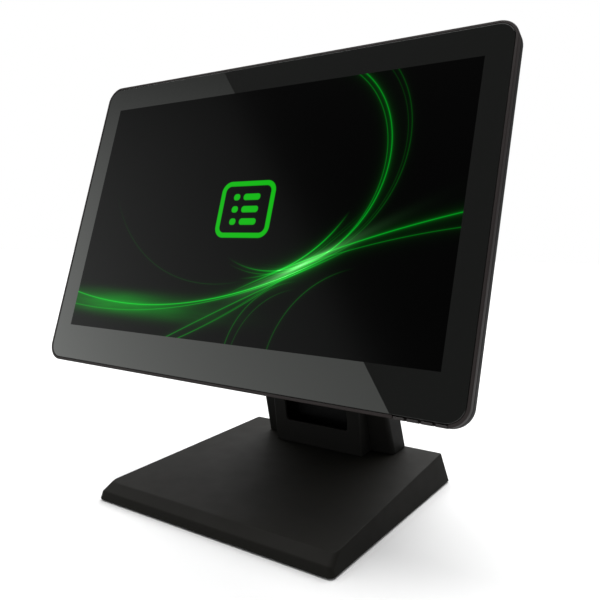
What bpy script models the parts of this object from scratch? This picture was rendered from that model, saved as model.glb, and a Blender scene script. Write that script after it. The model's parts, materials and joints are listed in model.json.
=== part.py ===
"""Point-of-sale touchscreen terminal: a tilting display head on a leaning neck and a weighted base.

The origin is on the floor under the middle of the base, +Z is up and the screen faces -Y.
"""
from math import copysign, cos, pi, radians, sin, tan

import bmesh
import bpy
from mathutils import Matrix, Vector

MM = 0.001
MERGE = 0.001 * MM                # points closer than this are one point
GAP = 0.3 * MM                    # left between pieces that touch
BORE_GAP = 0.3 * MM               # radial room of a shaft or a screw in its hole
OVERCUT = 5.0 * MM                # cutters reach this far past the face that they open
SMOOTH_ANGLE = 35.0               # degrees; sharper edges stay crisp on round pieces

# Base: a wedge-shaped moulding over a steel ballast plate
BASE_WIDTH = 226.0 * MM
BASE_DEPTH = 219.0 * MM
BASE_BOTTOM = 1.0 * MM            # lower edge of the moulding above the floor
SKIRT_TOP = 8.5 * MM              # upright front skirt, above the floor
SKIRT_DRAFT = 1.0 * MM
FRONT_CREASE_IN = 9.6 * MM        # the front chamfer ends this far behind the front edge
FRONT_CREASE_Z = 14.3 * MM
BACK_CREASE_IN = 5.2 * MM
BACK_CREASE_Z = 27.3 * MM
BASE_SIDE_DRAFT = 14.7            # degrees from upright
BASE_FRONT_CORNER = 4.5 * MM
BASE_BACK_CORNER = 2.0 * MM
BASE_WALL = 2.5 * MM
PLATE_THICK = 4.0 * MM
PLATE_CLEAR = 1.5 * MM            # plate to the inside of the moulding, all round
PLATE_CORNER = 4.0 * MM
FOOT_RADIUS = 10.0 * MM
FOOT_EDGE = 0.3 * MM
FOOT_INSET = 24.0 * MM            # foot centre from the base's edges
BOSS_INSET = 44.0 * MM            # cover screw from the base's edges
BOSS_RADIUS = 4.5 * MM
BOSS_ROOF = 3.0 * MM              # base's top above the end of a screw hole
LEAST_CORNER = 0.5 * MM
STEEP = 0.3                       # rise over run above which a side edge counts as a corner

# Screws: base, bracket and neck use the first kind, the head uses the second
STAND_SCREW_RADIUS = 1.6 * MM
STAND_SCREW_HEAD = 3.6 * MM
STAND_SCREW_HEAD_THICK = 1.8 * MM
STAND_SCREW_LENGTH = 9.0 * MM
NECK_SCREW_LENGTH = 12.0 * MM
NECK_SCREW_X = 30.0 * MM
NECK_SCREW_Z = 120.0 * MM
HEAD_SCREW_RADIUS = 1.7 * MM
HEAD_SCREW_HEAD = 3.4 * MM
HEAD_SCREW_HEAD_THICK = 2.0 * MM
COVER_SCREW_LENGTH = 8.0 * MM
PLATE_SCREW_LENGTH = 10.0 * MM

# Neck: a wide rear shell, a narrower front cover with a cable window, a steel bracket inside
NECK_LEAN = 19.8                  # degrees, the rear shell leans forward
NECK_HALF_WIDTH = 70.8 * MM       # at the base
NECK_TAPER = 0.055                # each side, per unit of height
NECK_FROM_BACK = 33.3 * MM        # base's back edge to the shell's front face, at the reference height
NECK_THICK = 26.0 * MM            # front to back, level
NECK_REF_Z = 25.0 * MM
NECK_TOP_Z = 184.0 * MM
NECK_WALL = 2.5 * MM
NECK_FRONT_EDGE = 4.0 * MM        # rounding of the shell's upright edges
NECK_BACK_EDGE = 1.0 * MM
COVER_HALF_WIDTH = 47.3 * MM
COVER_AHEAD = 19.6 * MM           # face of the front cover before the shell's, at the reference height
COVER_LEAN = 10.8
COVER_TOP_Z = 132.0 * MM
WINDOW_HALF_WIDTH = 33.8 * MM
WINDOW_LOW_Z = 47.3 * MM
WINDOW_HIGH_Z = 78.0 * MM
WINDOW_CORNER = 3.4 * MM
EXIT_WIDTH = 17.0 * MM            # cable exit at the back of the neck, beside the bracket
EXIT_BESIDE = 4.0 * MM
EXIT_LOW_Z = 32.0 * MM
EXIT_HIGH_Z = 46.0 * MM
BRACKET_THICK = 3.0 * MM
BRACKET_HALF_WIDTH = 41.0 * MM
BRACKET_BACK_CLEAR = 4.0 * MM     # bracket to the rear shell's inner face
BRACKET_FOOT = 52.0 * MM
BRACKET_SCREW_X = 28.0 * MM
BRACKET_SCREW_ALONG = (12.0 * MM, 42.0 * MM)    # from the strip's bend, along the foot
BRACKET_SIDE_ROOM = 1.0 * MM      # beside the bracket in the slots that it passes through
BASE_SLOT_ROOM = 4.0 * MM         # before and behind it in the base's slot, where it leans
EAR_LOW = 34.0 * MM               # the ears start this far below the neck's top
EAR_HIGH = 6.0 * MM

# Tilt hinge
HINGE_AHEAD = 6.457 * MM          # hinge axis before the neck's front face, at the neck's top
HINGE_OVER_NECK = 19.0 * MM
TILT = 15.94                      # degrees, the screen leans back at rest
SHAFT_RADIUS = 4.0 * MM
EAR_RADIUS = 13.0 * MM
EAR_THICK = 3.0 * MM
EAR_ARC = 85.0                    # degrees of round end on each side of the middle
SLEEVE_RADIUS = 12.0 * MM
WASHER_RADIUS = 10.0 * MM
WASHER_THICK = 2.9 * MM
NUT_RADIUS = 7.0 * MM
NUT_THICK = 5.0 * MM
CAP_RADIUS = 15.0 * MM
CAP_LENGTH = 12.0 * MM
CAP_WALL = 2.2 * MM
CAP_ROUND = 2.0 * MM
SHAFT_PAST_NUT = 2.0 * MM
HEAD_EAR_REACH = 30.0 * MM        # half height of the head's ears where they meet the plate

# Display head, in the tilted frame: x across, y backwards, z up the screen, hinge axis at 0
GLASS_WIDTH = 380.0 * MM
GLASS_HEIGHT = 257.8 * MM
GLASS_THICK = 3.0 * MM
GLASS_CORNER = 12.0 * MM
AXIS_BEHIND_GLASS = 82.8 * MM
GLASS_CENTRE_UP = 11.2 * MM       # glass centre above the hinge axis
FRAME_LIP = 2.4 * MM
FRAME_DEPTH = 6.0 * MM
LEDGE_SIDE = 9.0 * MM             # ledge under the glass, left and right
LEDGE_END = 13.0 * MM             # and at the top and bottom
FRAME_OPENING_CORNER = 4.0 * MM
FRAME_BOSS_SIDE = 22.0 * MM       # rear cover screws, from the glass's left and right edges
FRAME_BOSS_IN = 10.5 * MM         # and from its top and bottom edges
FRAME_BOSS_RADIUS = 3.2 * MM
TAPE_IN = 1.0 * MM                # tape's outer edge inside the glass's
TAPE_WIDTH = 5.0 * MM
TAPE_THICK = 0.6 * MM
PANEL_SIDE_BORDER = 10.25 * MM    # glass edge to panel edge
PANEL_TOP_BORDER = 14.0 * MM
PANEL_BOTTOM_BORDER = 21.8 * MM
LCD_THICK = 6.2 * MM
LCD_CORNER = 1.5 * MM
CHASSIS_THICK = 1.2 * MM
CHASSIS_IN = 4.0 * MM             # tray's edge inside the panel's, all round
CHASSIS_CORNER = 3.0 * MM
STANDOFF_RADIUS = 3.0 * MM
STANDOFF_IN = 8.0 * MM            # stand-off from the board's edges
COVER_RIM_DEPTH = 10.2 * MM       # thin part of the rear cover, front to back
RIM_CHAMFER = 6.2 * MM
BULGE_WIDTH = 300.0 * MM
BULGE_HEIGHT = 184.0 * MM
BULGE_UP = 14.8 * MM              # bulge centre above the glass centre
BULGE_BACK = 46.0 * MM            # back of the bulge behind the glass face
BULGE_CORNER = 20.0 * MM
BULGE_CHAMFER = 9.0 * MM
HEAD_WALL = 2.4 * MM
PLATE_SCREWS = 75.0 * MM          # square pattern of the hinge plate's screws
HINGE_PLATE_WIDTH = 120.0 * MM
HINGE_PLATE_HEIGHT = 92.0 * MM
HINGE_PLATE_THICK = 2.5 * MM
HINGE_PLATE_CORNER = 8.0 * MM
PLATE_BOSS_RADIUS = 5.0 * MM
PLATE_BOSS_LENGTH = 12.0 * MM
VENTS_EACH_SIDE = 6
VENT_FIRST_X = 40.0 * MM
VENT_PITCH = 9.0 * MM
VENT_WIDTH = 3.0 * MM
VENT_LENGTH = 26.0 * MM
VENT_BELOW_TOP = 17.0 * MM        # slot's upper end below the raised box's top

# Keys in the bottom lip of the frame
KEY_COUNT = 4
KEY_LENGTH = 8.1 * MM
KEY_PITCH = 9.1 * MM
KEY_FIRST_IN = 40.6 * MM          # middle of the first key from the glass's right edge
KEY_DEPTH = 4.2 * MM
KEY_TRAVEL_ROOM = 0.7 * MM
KEY_PROUD = 0.2 * MM
KEY_BEHIND_FACE = 0.3 * MM
KEY_BOARD_WIDTH = 22.0 * MM
KEY_BOARD_HEIGHT = 12.0 * MM
KEY_BOARD_THICK = 1.2 * MM
KEY_BOARD_LEFT = 12.0 * MM        # board's middle left of the keys' middle, clear of the screw post
KEY_BOARD_UP = 2.5 * MM

# Electronics
BOARD_WIDTH = 170.0 * MM
BOARD_HEIGHT = 140.0 * MM
BOARD_THICK = 1.6 * MM
BOARD_BACK = 17.0 * MM            # front face of the board behind the glass face
BOARD_X = 23.0 * MM
BOARD_OVER_FLOOR = 5.0 * MM       # board above the raised box's bottom wall
SINK_WIDTH = 60.0 * MM
SINK_HEIGHT = 56.0 * MM
SINK_DEPTH = 18.0 * MM
SINK_BASE = 4.0 * MM
SINK_FIN = 1.6 * MM
SINK_FINS = 9
MEMORY_SIZE = (68.0 * MM, 3.8 * MM, 28.0 * MM)
MEMORY_UP = 52.0 * MM
DRIVE_SIZE = (66.0 * MM, 7.0 * MM, 98.0 * MM)
DRIVE_SIDE = 4.0 * MM
DRIVE_UP = -12.0 * MM
TOUCH_BOARD_SIZE = (60.0 * MM, 2.0 * MM, 16.0 * MM)
TOUCH_BOARD_OVER = 6.0 * MM       # above the main board
SPEAKER_SIZE = (30.0 * MM, 14.0 * MM, 34.0 * MM)
COMPONENT_EDGE = 0.5 * MM
PORT_HEIGHT = 16.0 * MM           # height of the port blocks above the io plate
PORT_MOUTH = 12.0 * MM            # depth of the sockets
IO_PLATE_THICK = 1.0 * MM
IO_HALF_WIDTH = 62.0 * MM         # opening in the raised box's bottom wall
IO_PLATE_EDGE = 4.0 * MM          # plate past the opening at each end
LAN_X = 40.0 * MM
LAN_SIZE = (16.0 * MM, 13.5 * MM)
LAN_MOUTH = (11.8 * MM, 8.4 * MM)
LAN_RIM = 2.6 * MM                # front of the block to its mouth
USB_PLACES = (0.0, 20.0 * MM)
USB_SIZE = (14.8 * MM, 15.1 * MM)
USB_MOUTH = (12.4 * MM, 5.1 * MM)
USB_RIM = 1.2 * MM
USB_STEP = 7.6 * MM               # between the two mouths of one block
INLET_X = -34.0 * MM
INLET_SIZE = (13.0 * MM, 11.0 * MM)
INLET_MOUTH = (6.4 * MM, 6.4 * MM)
INLET_RIM = 2.3 * MM
PORT_HOLE_EDGE = 0.8 * MM         # io plate's rim under each block, at least

BASE_FRONT = -BASE_DEPTH / 2
BASE_BACK = BASE_DEPTH / 2
BASE_SLOPE = (BACK_CREASE_Z - FRONT_CREASE_Z) / (BASE_DEPTH - FRONT_CREASE_IN - BACK_CREASE_IN)
NECK_FRONT_Y = BASE_BACK - NECK_FROM_BACK
COVER_FRONT_Y = NECK_FRONT_Y - COVER_AHEAD
HINGE_Y = NECK_FRONT_Y - (NECK_TOP_Z - NECK_REF_Z) * tan(radians(NECK_LEAN)) - HINGE_AHEAD
HINGE_Z = NECK_TOP_Z + HINGE_OVER_NECK
GLASS_FACE = -AXIS_BEHIND_GLASS
LCD_WIDTH = GLASS_WIDTH - 2 * PANEL_SIDE_BORDER
LCD_HEIGHT = GLASS_HEIGHT - PANEL_TOP_BORDER - PANEL_BOTTOM_BORDER
ACTIVE_UP = (PANEL_BOTTOM_BORDER - PANEL_TOP_BORDER) / 2     # panel centre above the glass centre
KEY_FIRST_X = GLASS_WIDTH / 2 - KEY_FIRST_IN
FRAME_WIDTH = GLASS_WIDTH + 2 * FRAME_LIP
FRAME_HEIGHT = GLASS_HEIGHT + 2 * FRAME_LIP
FRAME_CORNER = GLASS_CORNER + FRAME_LIP
LEDGE_FRONT = GLASS_THICK + TAPE_THICK + 2 * GAP
EAR_OUT = BRACKET_HALF_WIDTH + WASHER_THICK + 2 * GAP     # inner face of the head's ears
CAP_START = EAR_OUT + EAR_THICK + GAP
BULGE_Z = GLASS_CENTRE_UP + BULGE_UP
BULGE_BOTTOM = BULGE_Z - BULGE_HEIGHT / 2
PLATE_TOP = BASE_BOTTOM + GAP + PLATE_THICK


def start_scene():
    """Clear the scene and make the two collections."""
    for old in list(bpy.data.objects):
        bpy.data.objects.remove(old)
    scene = bpy.context.scene.collection
    parts = bpy.data.collections.new("pos_touchscreen_terminal")
    cutters = bpy.data.collections.new("cutters")
    scene.children.link(parts)
    scene.children.link(cutters)
    return parts, cutters


PARTS, CUTTERS = start_scene()


def material(name, colour, roughness, metallic=0.0):
    """Return the named material, made once."""
    found = bpy.data.materials.get(name)
    if found:
        return found
    made = bpy.data.materials.new(name)
    made.use_nodes = True
    shader = made.node_tree.nodes["Principled BSDF"]
    shader.inputs["Base Color"].default_value = (*colour, 1.0)
    shader.inputs["Roughness"].default_value = roughness
    shader.inputs["Metallic"].default_value = metallic
    return made


def black_plastic():
    return material("black_plastic", (0.018, 0.017, 0.016), 0.55)


def frame_black():
    return material("frame_black", (0.025, 0.022, 0.022), 0.4)


def black_glass():
    return material("black_glass", (0.01, 0.011, 0.01), 0.06)


def steel():
    return material("steel", (0.55, 0.56, 0.57), 0.38, 1.0)


def rubber():
    return material("rubber", (0.015, 0.015, 0.015), 0.85)


def circuit_green():
    return material("circuit_green", (0.02, 0.12, 0.06), 0.5)


def aluminium():
    return material("aluminium", (0.6, 0.61, 0.62), 0.42, 1.0)


def panel_grey():
    return material("panel_grey", (0.25, 0.26, 0.27), 0.5)


def tape_black():
    return material("tape_black", (0.01, 0.01, 0.01), 0.9)


def add_part(name, mesh, surface, parent=None, location=(0, 0, 0)):
    """Put a mesh in the parts collection as one named piece."""
    made = bpy.data.objects.new(name, mesh)
    PARTS.objects.link(made)
    made.data.materials.clear()
    made.data.materials.append(surface)
    made.parent = parent
    made.location = location
    return made


def add_cutter(mesh, target, operation="DIFFERENCE", location=None):
    """Cut target with mesh, or join mesh to it, in the frame of target's parent."""
    cutter = bpy.data.objects.new(target.name + "_cutter", mesh)
    CUTTERS.objects.link(cutter)
    cutter.hide_render = True
    cutter.display_type = "WIRE"
    cutter.parent = target.parent
    cutter.location = target.location if location is None else location
    step = target.modifiers.new(operation.lower(), "BOOLEAN")
    step.operation = operation
    step.solver = "EXACT"
    step.object = cutter
    return cutter


def finish_mesh(name, shape):
    mesh = bpy.data.meshes.new(name)
    bmesh.ops.recalc_face_normals(shape, faces=shape.faces)
    shape.to_mesh(mesh)
    shape.free()
    return mesh


def add_box(shape, low, high):
    """Add a box between two corners to a bmesh and return its vertices."""
    low = Vector(low)
    high = Vector(high)
    place = Matrix.Translation((low + high) / 2) @ Matrix.Diagonal((*(high - low), 1.0))
    return bmesh.ops.create_cube(shape, size=1.0, matrix=place)["verts"]


def box_mesh(name, low, high):
    shape = bmesh.new()
    add_box(shape, low, high)
    return finish_mesh(name, shape)


def boxes_mesh(name, corners):
    """Several separate boxes in one mesh, for cutters."""
    shape = bmesh.new()
    for low, high in corners:
        add_box(shape, low, high)
    return finish_mesh(name, shape)


def edges_along(shape, axis):
    """The edges that run along one axis only."""
    others = [number for number in range(3) if number != axis]
    found = []
    for edge in shape.edges:
        step = edge.verts[0].co - edge.verts[1].co
        if all(abs(step[number]) < 1e-6 for number in others):
            found.append(edge)
    return found


def slab_mesh(name, size, depths, corner, chamfer=0.0, corner_steps=5):
    """A slab across x and z with round corners, from depths[0] back to depths[1] on y."""
    width, height = size
    shape = bmesh.new()
    add_box(shape, (-width / 2, depths[0], -height / 2), (width / 2, depths[1], height / 2))
    bmesh.ops.bevel(shape, geom=edges_along(shape, 1), offset=corner, segments=corner_steps,
                    profile=0.5, affect="EDGES")
    if chamfer:
        rear = [edge for edge in shape.edges if all(v.co.y > depths[1] - 1e-6 for v in edge.verts)]
        bmesh.ops.bevel(shape, geom=rear, offset=chamfer, segments=1, affect="EDGES")
    return finish_mesh(name, shape)


def cylinder_mesh(name, radius, low, high, axis="X", centre=(0, 0, 0), sides=24):
    """A capped cylinder between two places along an axis."""
    turn = {"X": Matrix.Rotation(pi / 2, 4, "Y"), "Y": Matrix.Rotation(-pi / 2, 4, "X"),
            "Z": Matrix.Identity(4)}[axis]
    middle = {"X": Vector(((low + high) / 2, 0, 0)), "Y": Vector((0, (low + high) / 2, 0)),
              "Z": Vector((0, 0, (low + high) / 2))}[axis]
    shape = bmesh.new()
    bmesh.ops.create_cone(shape, cap_ends=True, segments=sides, radius1=radius, radius2=radius,
                          depth=high - low, matrix=Matrix.Translation(middle + Vector(centre)) @ turn)
    return finish_mesh(name, shape)


def smooth_round(mesh):
    mesh.shade_smooth()
    mesh.set_sharp_from_angle(angle=radians(SMOOTH_ANGLE))


def turned_part(name, profile, surface, parent, location, turn=(0, 0, 0), closed=False, steps=24):
    """A turned piece: radius and height pairs, from the top down the outer side."""
    shape = bmesh.new()
    points = [shape.verts.new((radius, 0.0, height)) for radius, height in profile]
    pairs = list(zip(points, points[1:]))
    if closed:
        pairs.append((points[-1], points[0]))
    edges = [shape.edges.new(pair) for pair in pairs]
    bmesh.ops.spin(shape, geom=points + edges, cent=(0, 0, 0), axis=(0, 0, 1), angle=2 * pi, steps=steps,
                   use_merge=True)
    bmesh.ops.remove_doubles(shape, verts=shape.verts, dist=MERGE)
    mesh = finish_mesh(name, shape)
    smooth_round(mesh)
    made = add_part(name, mesh, surface, parent, location)
    made.rotation_euler = turn
    return made


def tube_profile(inner, outer, low, high):
    return [(inner, high), (outer, high), (outer, low), (inner, low)]


def outline_mesh(name, points, low, high):
    """A flat outline of (y, z) points, made solid between two places on x."""
    curve = bpy.data.curves.new(name, "CURVE")
    curve.dimensions = "2D"
    curve.fill_mode = "BOTH"
    curve.extrude = (high - low) / 2
    spline = curve.splines.new("POLY")
    spline.points.add(len(points) - 1)
    for point, (across, up) in zip(spline.points, points):
        point.co = (across, up, 0.0, 1.0)
    spline.use_cyclic_u = True
    holder = bpy.data.objects.new(name, curve)
    CUTTERS.objects.link(holder)
    seen = holder.evaluated_get(bpy.context.evaluated_depsgraph_get())
    mesh = bpy.data.meshes.new_from_object(seen)
    bpy.data.objects.remove(holder)
    to_side = Matrix(((0, 0, 1, (low + high) / 2), (1, 0, 0, 0), (0, 1, 0, 0), (0, 0, 0, 1)))
    shape = bmesh.new()
    shape.from_mesh(mesh)
    bmesh.ops.remove_doubles(shape, verts=shape.verts, dist=MERGE)
    bmesh.ops.transform(shape, matrix=to_side, verts=shape.verts)
    bmesh.ops.dissolve_limit(shape, angle_limit=radians(0.1), verts=shape.verts, edges=shape.edges)
    bpy.data.meshes.remove(mesh)
    return finish_mesh(name, shape)


def arc(centre, radius, start, end, steps=12):
    """Points on an arc, from one angle in degrees to another."""
    angles = [radians(start + (end - start) * number / steps) for number in range(steps + 1)]
    return [(centre[0] + radius * cos(angle), centre[1] + radius * sin(angle)) for angle in angles]


# ---------------------------------------------------------------- base

def base_top_z(y):
    """Height of the base's sloping top at y."""
    return FRONT_CREASE_Z + (y - BASE_FRONT - FRONT_CREASE_IN) * BASE_SLOPE


def base_mesh(name, wall):
    """The wedge of the base, drawn in by wall on every side and open below when wall is set."""
    bottom = BASE_BOTTOM - (OVERCUT if wall else 0.0)
    outline = [(BASE_FRONT + wall, bottom),
               (BASE_FRONT + SKIRT_DRAFT + wall, SKIRT_TOP - wall / 2),
               (BASE_FRONT + FRONT_CREASE_IN + wall / 2, base_top_z(BASE_FRONT + FRONT_CREASE_IN) - wall),
               (BASE_BACK - BACK_CREASE_IN - wall, base_top_z(BASE_BACK - BACK_CREASE_IN - wall) - wall),
               (BASE_BACK - wall, bottom)]
    mesh = outline_mesh(name, outline, -BASE_WIDTH / 2 + wall, BASE_WIDTH / 2 - wall)
    shape = bmesh.new()
    shape.from_mesh(mesh)
    for vertex in shape.verts:
        vertex.co.x -= copysign(max(vertex.co.z, 0.0) * tan(radians(BASE_SIDE_DRAFT)), vertex.co.x)
    for end, radius in ((-1, BASE_FRONT_CORNER), (1, BASE_BACK_CORNER)):
        corners = []
        for edge in shape.edges:
            first, second = [v.co for v in edge.verts]
            on_side = first.x * second.x > 0 and abs(first.x) > BASE_WIDTH / 4
            at_end = min(end * first.y, end * second.y) > BASE_DEPTH / 4
            steep = abs(first.z - second.z) > STEEP * abs(first.y - second.y) + MERGE
            if on_side and at_end and steep:
                corners.append(edge)
        bmesh.ops.bevel(shape, geom=corners, offset=max(radius - wall, LEAST_CORNER), segments=4,
                        profile=0.5, affect="EDGES")
    bpy.data.meshes.remove(mesh)
    return finish_mesh(name, shape)


def boss_places():
    """Where the base cover's screws stand."""
    across = BASE_WIDTH / 2 - BOSS_INSET
    return [(side * across, end * (BASE_DEPTH / 2 - BOSS_INSET)) for side in (-1, 1) for end in (-1, 1)]


def base_cover():
    cover = add_part("base_cover", base_mesh("base_cover", 0.0), black_plastic())
    add_cutter(base_mesh("base_inside", BASE_WALL), cover)
    for x, y in boss_places():
        top = base_top_z(y) - BASE_WALL / 2
        add_cutter(cylinder_mesh("boss", BOSS_RADIUS, PLATE_TOP + GAP, top, "Z", (x, y, 0), 16),
                   cover, "UNION")
    for x, y in boss_places():
        add_cutter(cylinder_mesh("pilot", STAND_SCREW_RADIUS + BORE_GAP, 0.0,
                                 base_top_z(y) - BOSS_ROOF, "Z", (x, y, 0), 12), cover)
    slot_y = bracket_back_y(base_top_z(NECK_FRONT_Y)) - BRACKET_THICK
    side = BRACKET_HALF_WIDTH + BRACKET_SIDE_ROOM
    room = BASE_SLOT_ROOM
    add_cutter(box_mesh("bracket_slot", (-side, slot_y - room, PLATE_TOP + OVERCUT),
                        (side, slot_y + BRACKET_THICK + room, BACK_CREASE_Z + OVERCUT)), cover)


def ballast_plate():
    """Steel plate that closes the base and keeps the stand from tipping."""
    edge = BASE_WALL + PLATE_CLEAR + PLATE_TOP * tan(radians(BASE_SIDE_DRAFT))
    width = BASE_WIDTH - 2 * edge
    depth = BASE_DEPTH - 2 * edge
    shape = bmesh.new()
    add_box(shape, (-width / 2, -depth / 2, BASE_BOTTOM + GAP), (width / 2, depth / 2, PLATE_TOP))
    bmesh.ops.bevel(shape, geom=edges_along(shape, 2), offset=PLATE_CORNER, segments=3, profile=0.5,
                    affect="EDGES")
    plate = add_part("ballast_plate", finish_mesh("ballast_plate", shape), steel())
    for x, y in boss_places() + bracket_screw_places():
        add_cutter(cylinder_mesh("hole", STAND_SCREW_RADIUS + BORE_GAP, -OVERCUT, PLATE_TOP + OVERCUT,
                                 "Z", (x, y, 0), 12), plate)
        add_cutter(cylinder_mesh("sink", STAND_SCREW_HEAD + BORE_GAP, -OVERCUT,
                                 BASE_BOTTOM + 3 * GAP + STAND_SCREW_HEAD_THICK, "Z", (x, y, 0), 16),
                   plate)


def rubber_feet():
    for number, (x, y) in enumerate(
            [(side * (BASE_WIDTH / 2 - FOOT_INSET), end * (BASE_DEPTH / 2 - FOOT_INSET))
             for side in (-1, 1) for end in (-1, 1)]):
        profile = [(0.0, BASE_BOTTOM), (FOOT_RADIUS, BASE_BOTTOM), (FOOT_RADIUS, FOOT_EDGE),
                   (FOOT_RADIUS - FOOT_EDGE, 0.0), (0.0, 0.0)]
        turned_part("rubber_foot_%d" % (number + 1), profile, rubber(), None, (x, y, 0))


def screw_part(name, head_radius, head_thick, radius, length, surface, parent, location, turn):
    """A screw whose head's outer face is at its origin and whose shank runs down -Z."""
    profile = [(0.0, 0.0), (head_radius, 0.0), (head_radius, -head_thick), (radius, -head_thick),
               (radius, -head_thick - length), (0.0, -head_thick - length)]
    return turned_part(name, profile, surface, parent, location, turn, steps=12)


def base_screws():
    """Screws that go up through the ballast plate."""
    up = (pi, 0, 0)
    height = BASE_BOTTOM + 2 * GAP
    for number, (x, y) in enumerate(boss_places()):
        length = min(STAND_SCREW_LENGTH,
                     base_top_z(y) - BOSS_ROOF - height - GAP - STAND_SCREW_HEAD_THICK)
        screw_part("base_screw_%d" % (number + 1), STAND_SCREW_HEAD, STAND_SCREW_HEAD_THICK,
                   STAND_SCREW_RADIUS, length, steel(), None, (x, y, height), up)
    for number, (x, y) in enumerate(bracket_screw_places()):
        length = PLATE_TOP + GAP + BRACKET_THICK - height - STAND_SCREW_HEAD_THICK - GAP
        screw_part("bracket_screw_%d" % (number + 1), STAND_SCREW_HEAD, STAND_SCREW_HEAD_THICK,
                   STAND_SCREW_RADIUS, length, steel(), None, (x, y, height), up)


# ---------------------------------------------------------------- neck

def neck_front_y(z):
    return NECK_FRONT_Y - (z - NECK_REF_Z) * tan(radians(NECK_LEAN))


def neck_back_y(z):
    return neck_front_y(z) + NECK_THICK


def cover_front_y(z):
    return COVER_FRONT_Y - (z - NECK_REF_Z) * tan(radians(COVER_LEAN))


def bracket_back_y(z):
    return neck_back_y(z) - NECK_WALL - BRACKET_BACK_CLEAR


def draw_in(shape, taper):
    """Draw both sides of an upright shape in with height."""
    for vertex in shape.verts:
        vertex.co.x -= copysign((vertex.co.z - NECK_REF_Z) * taper, vertex.co.x)


def neck_shell_mesh(name, wall):
    """The leaning slab of the rear shell, drawn in by wall, open below when wall is set."""
    front_low = base_top_z(neck_front_y(NECK_REF_Z)) + GAP
    back_low = base_top_z(neck_back_y(NECK_REF_Z)) + GAP
    if wall:
        front_low -= 2 * OVERCUT
        back_low -= 2 * OVERCUT
    top = NECK_TOP_Z - wall
    outline = [(neck_front_y(front_low) + wall, front_low), (neck_front_y(top) + wall, top),
               (neck_back_y(top) - wall, top), (neck_back_y(back_low) - wall, back_low)]
    side = NECK_HALF_WIDTH - wall
    mesh = outline_mesh(name, outline, -side, side)
    shape = bmesh.new()
    shape.from_mesh(mesh)
    draw_in(shape, NECK_TAPER)
    if not wall:
        upright = [edge for edge in shape.edges
                   if abs(edge.verts[0].co.z - edge.verts[1].co.z) > NECK_TOP_Z / 2]
        middle = neck_front_y(0.0) + neck_back_y(NECK_TOP_Z)
        front = [edge for edge in upright if edge.verts[0].co.y + edge.verts[1].co.y < middle]
        back = [edge for edge in upright if edge not in front]
        bmesh.ops.bevel(shape, geom=front, offset=NECK_FRONT_EDGE, segments=2, profile=0.5, affect="EDGES")
        bmesh.ops.bevel(shape, geom=back, offset=NECK_BACK_EDGE, segments=1, affect="EDGES")
    bpy.data.meshes.remove(mesh)
    return finish_mesh(name, shape)


def neck_rear_shell():
    shell = add_part("neck_rear_shell", neck_shell_mesh("neck_rear_shell", 0.0), black_plastic())
    add_cutter(neck_shell_mesh("neck_inside", NECK_WALL), shell)
    inner = COVER_HALF_WIDTH - NECK_WALL
    low = NECK_REF_Z - 3 * OVERCUT
    high = COVER_TOP_Z - 2 * NECK_WALL
    before = -OVERCUT
    behind = NECK_WALL + OVERCUT
    outline = [(neck_front_y(low) + before, low), (neck_front_y(low) + behind, low),
               (neck_front_y(high) + behind, high), (neck_front_y(high) + before, high)]
    add_cutter(outline_mesh("neck_front_way", outline, -inner, inner), shell)
    slot_front = neck_front_y(NECK_TOP_Z) + NECK_WALL + GAP
    slot_back = bracket_back_y(NECK_TOP_Z) + BRACKET_SIDE_ROOM
    side = BRACKET_HALF_WIDTH + BRACKET_SIDE_ROOM
    add_cutter(box_mesh("neck_top_slot", (-side, slot_front, NECK_TOP_Z - NECK_WALL - OVERCUT),
                        (side, slot_back, NECK_TOP_Z + OVERCUT)), shell)
    exit_x = BRACKET_HALF_WIDTH + EXIT_BESIDE
    add_cutter(box_mesh("cable_exit", (exit_x, neck_back_y(EXIT_HIGH_Z) - NECK_WALL - OVERCUT, EXIT_LOW_Z),
                        (exit_x + EXIT_WIDTH, neck_back_y(EXIT_LOW_Z) + OVERCUT, EXIT_HIGH_Z)), shell)
    reach = NECK_THICK / 2
    for x in (-NECK_SCREW_X, NECK_SCREW_X):
        add_cutter(cylinder_mesh("hole", STAND_SCREW_RADIUS + BORE_GAP, -reach, reach, "Y",
                                 (x, neck_back_y(NECK_SCREW_Z), NECK_SCREW_Z), 12), shell)


def neck_front_cover():
    low_front = base_top_z(cover_front_y(NECK_REF_Z)) + GAP
    low_back = base_top_z(neck_front_y(NECK_REF_Z)) + GAP
    outline = [(cover_front_y(low_front), low_front), (cover_front_y(COVER_TOP_Z), COVER_TOP_Z),
               (neck_front_y(COVER_TOP_Z) - GAP, COVER_TOP_Z), (neck_front_y(low_back) - GAP, low_back)]
    mesh = outline_mesh("neck_front_cover", outline, -COVER_HALF_WIDTH, COVER_HALF_WIDTH)
    cover = add_part("neck_front_cover", mesh, black_plastic())
    low = NECK_REF_Z - 3 * OVERCUT
    high = COVER_TOP_Z - NECK_WALL
    inner = COVER_HALF_WIDTH - NECK_WALL
    inside = [(cover_front_y(low) + NECK_WALL, low), (cover_front_y(high) + NECK_WALL, high),
              (neck_front_y(high) + 2 * OVERCUT, high), (neck_front_y(low) + 2 * OVERCUT, low)]
    add_cutter(outline_mesh("cover_inside", inside, -inner, inner), cover)
    middle = (WINDOW_LOW_Z + WINDOW_HIGH_Z) / 2
    reach = (WINDOW_HIGH_Z - WINDOW_LOW_Z) / 2 * tan(radians(COVER_LEAN)) + NECK_WALL + OVERCUT
    window = slab_mesh("window", (2 * WINDOW_HALF_WIDTH, WINDOW_HIGH_Z - WINDOW_LOW_Z), (-reach, reach),
                       WINDOW_CORNER, corner_steps=3)
    add_cutter(window, cover, location=(0, cover_front_y(middle), middle))


def bracket_screw_places():
    back = bracket_back_y(PLATE_TOP) - BRACKET_THICK
    return [(side * BRACKET_SCREW_X, back - along) for side in (-1, 1) for along in BRACKET_SCREW_ALONG]


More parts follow.
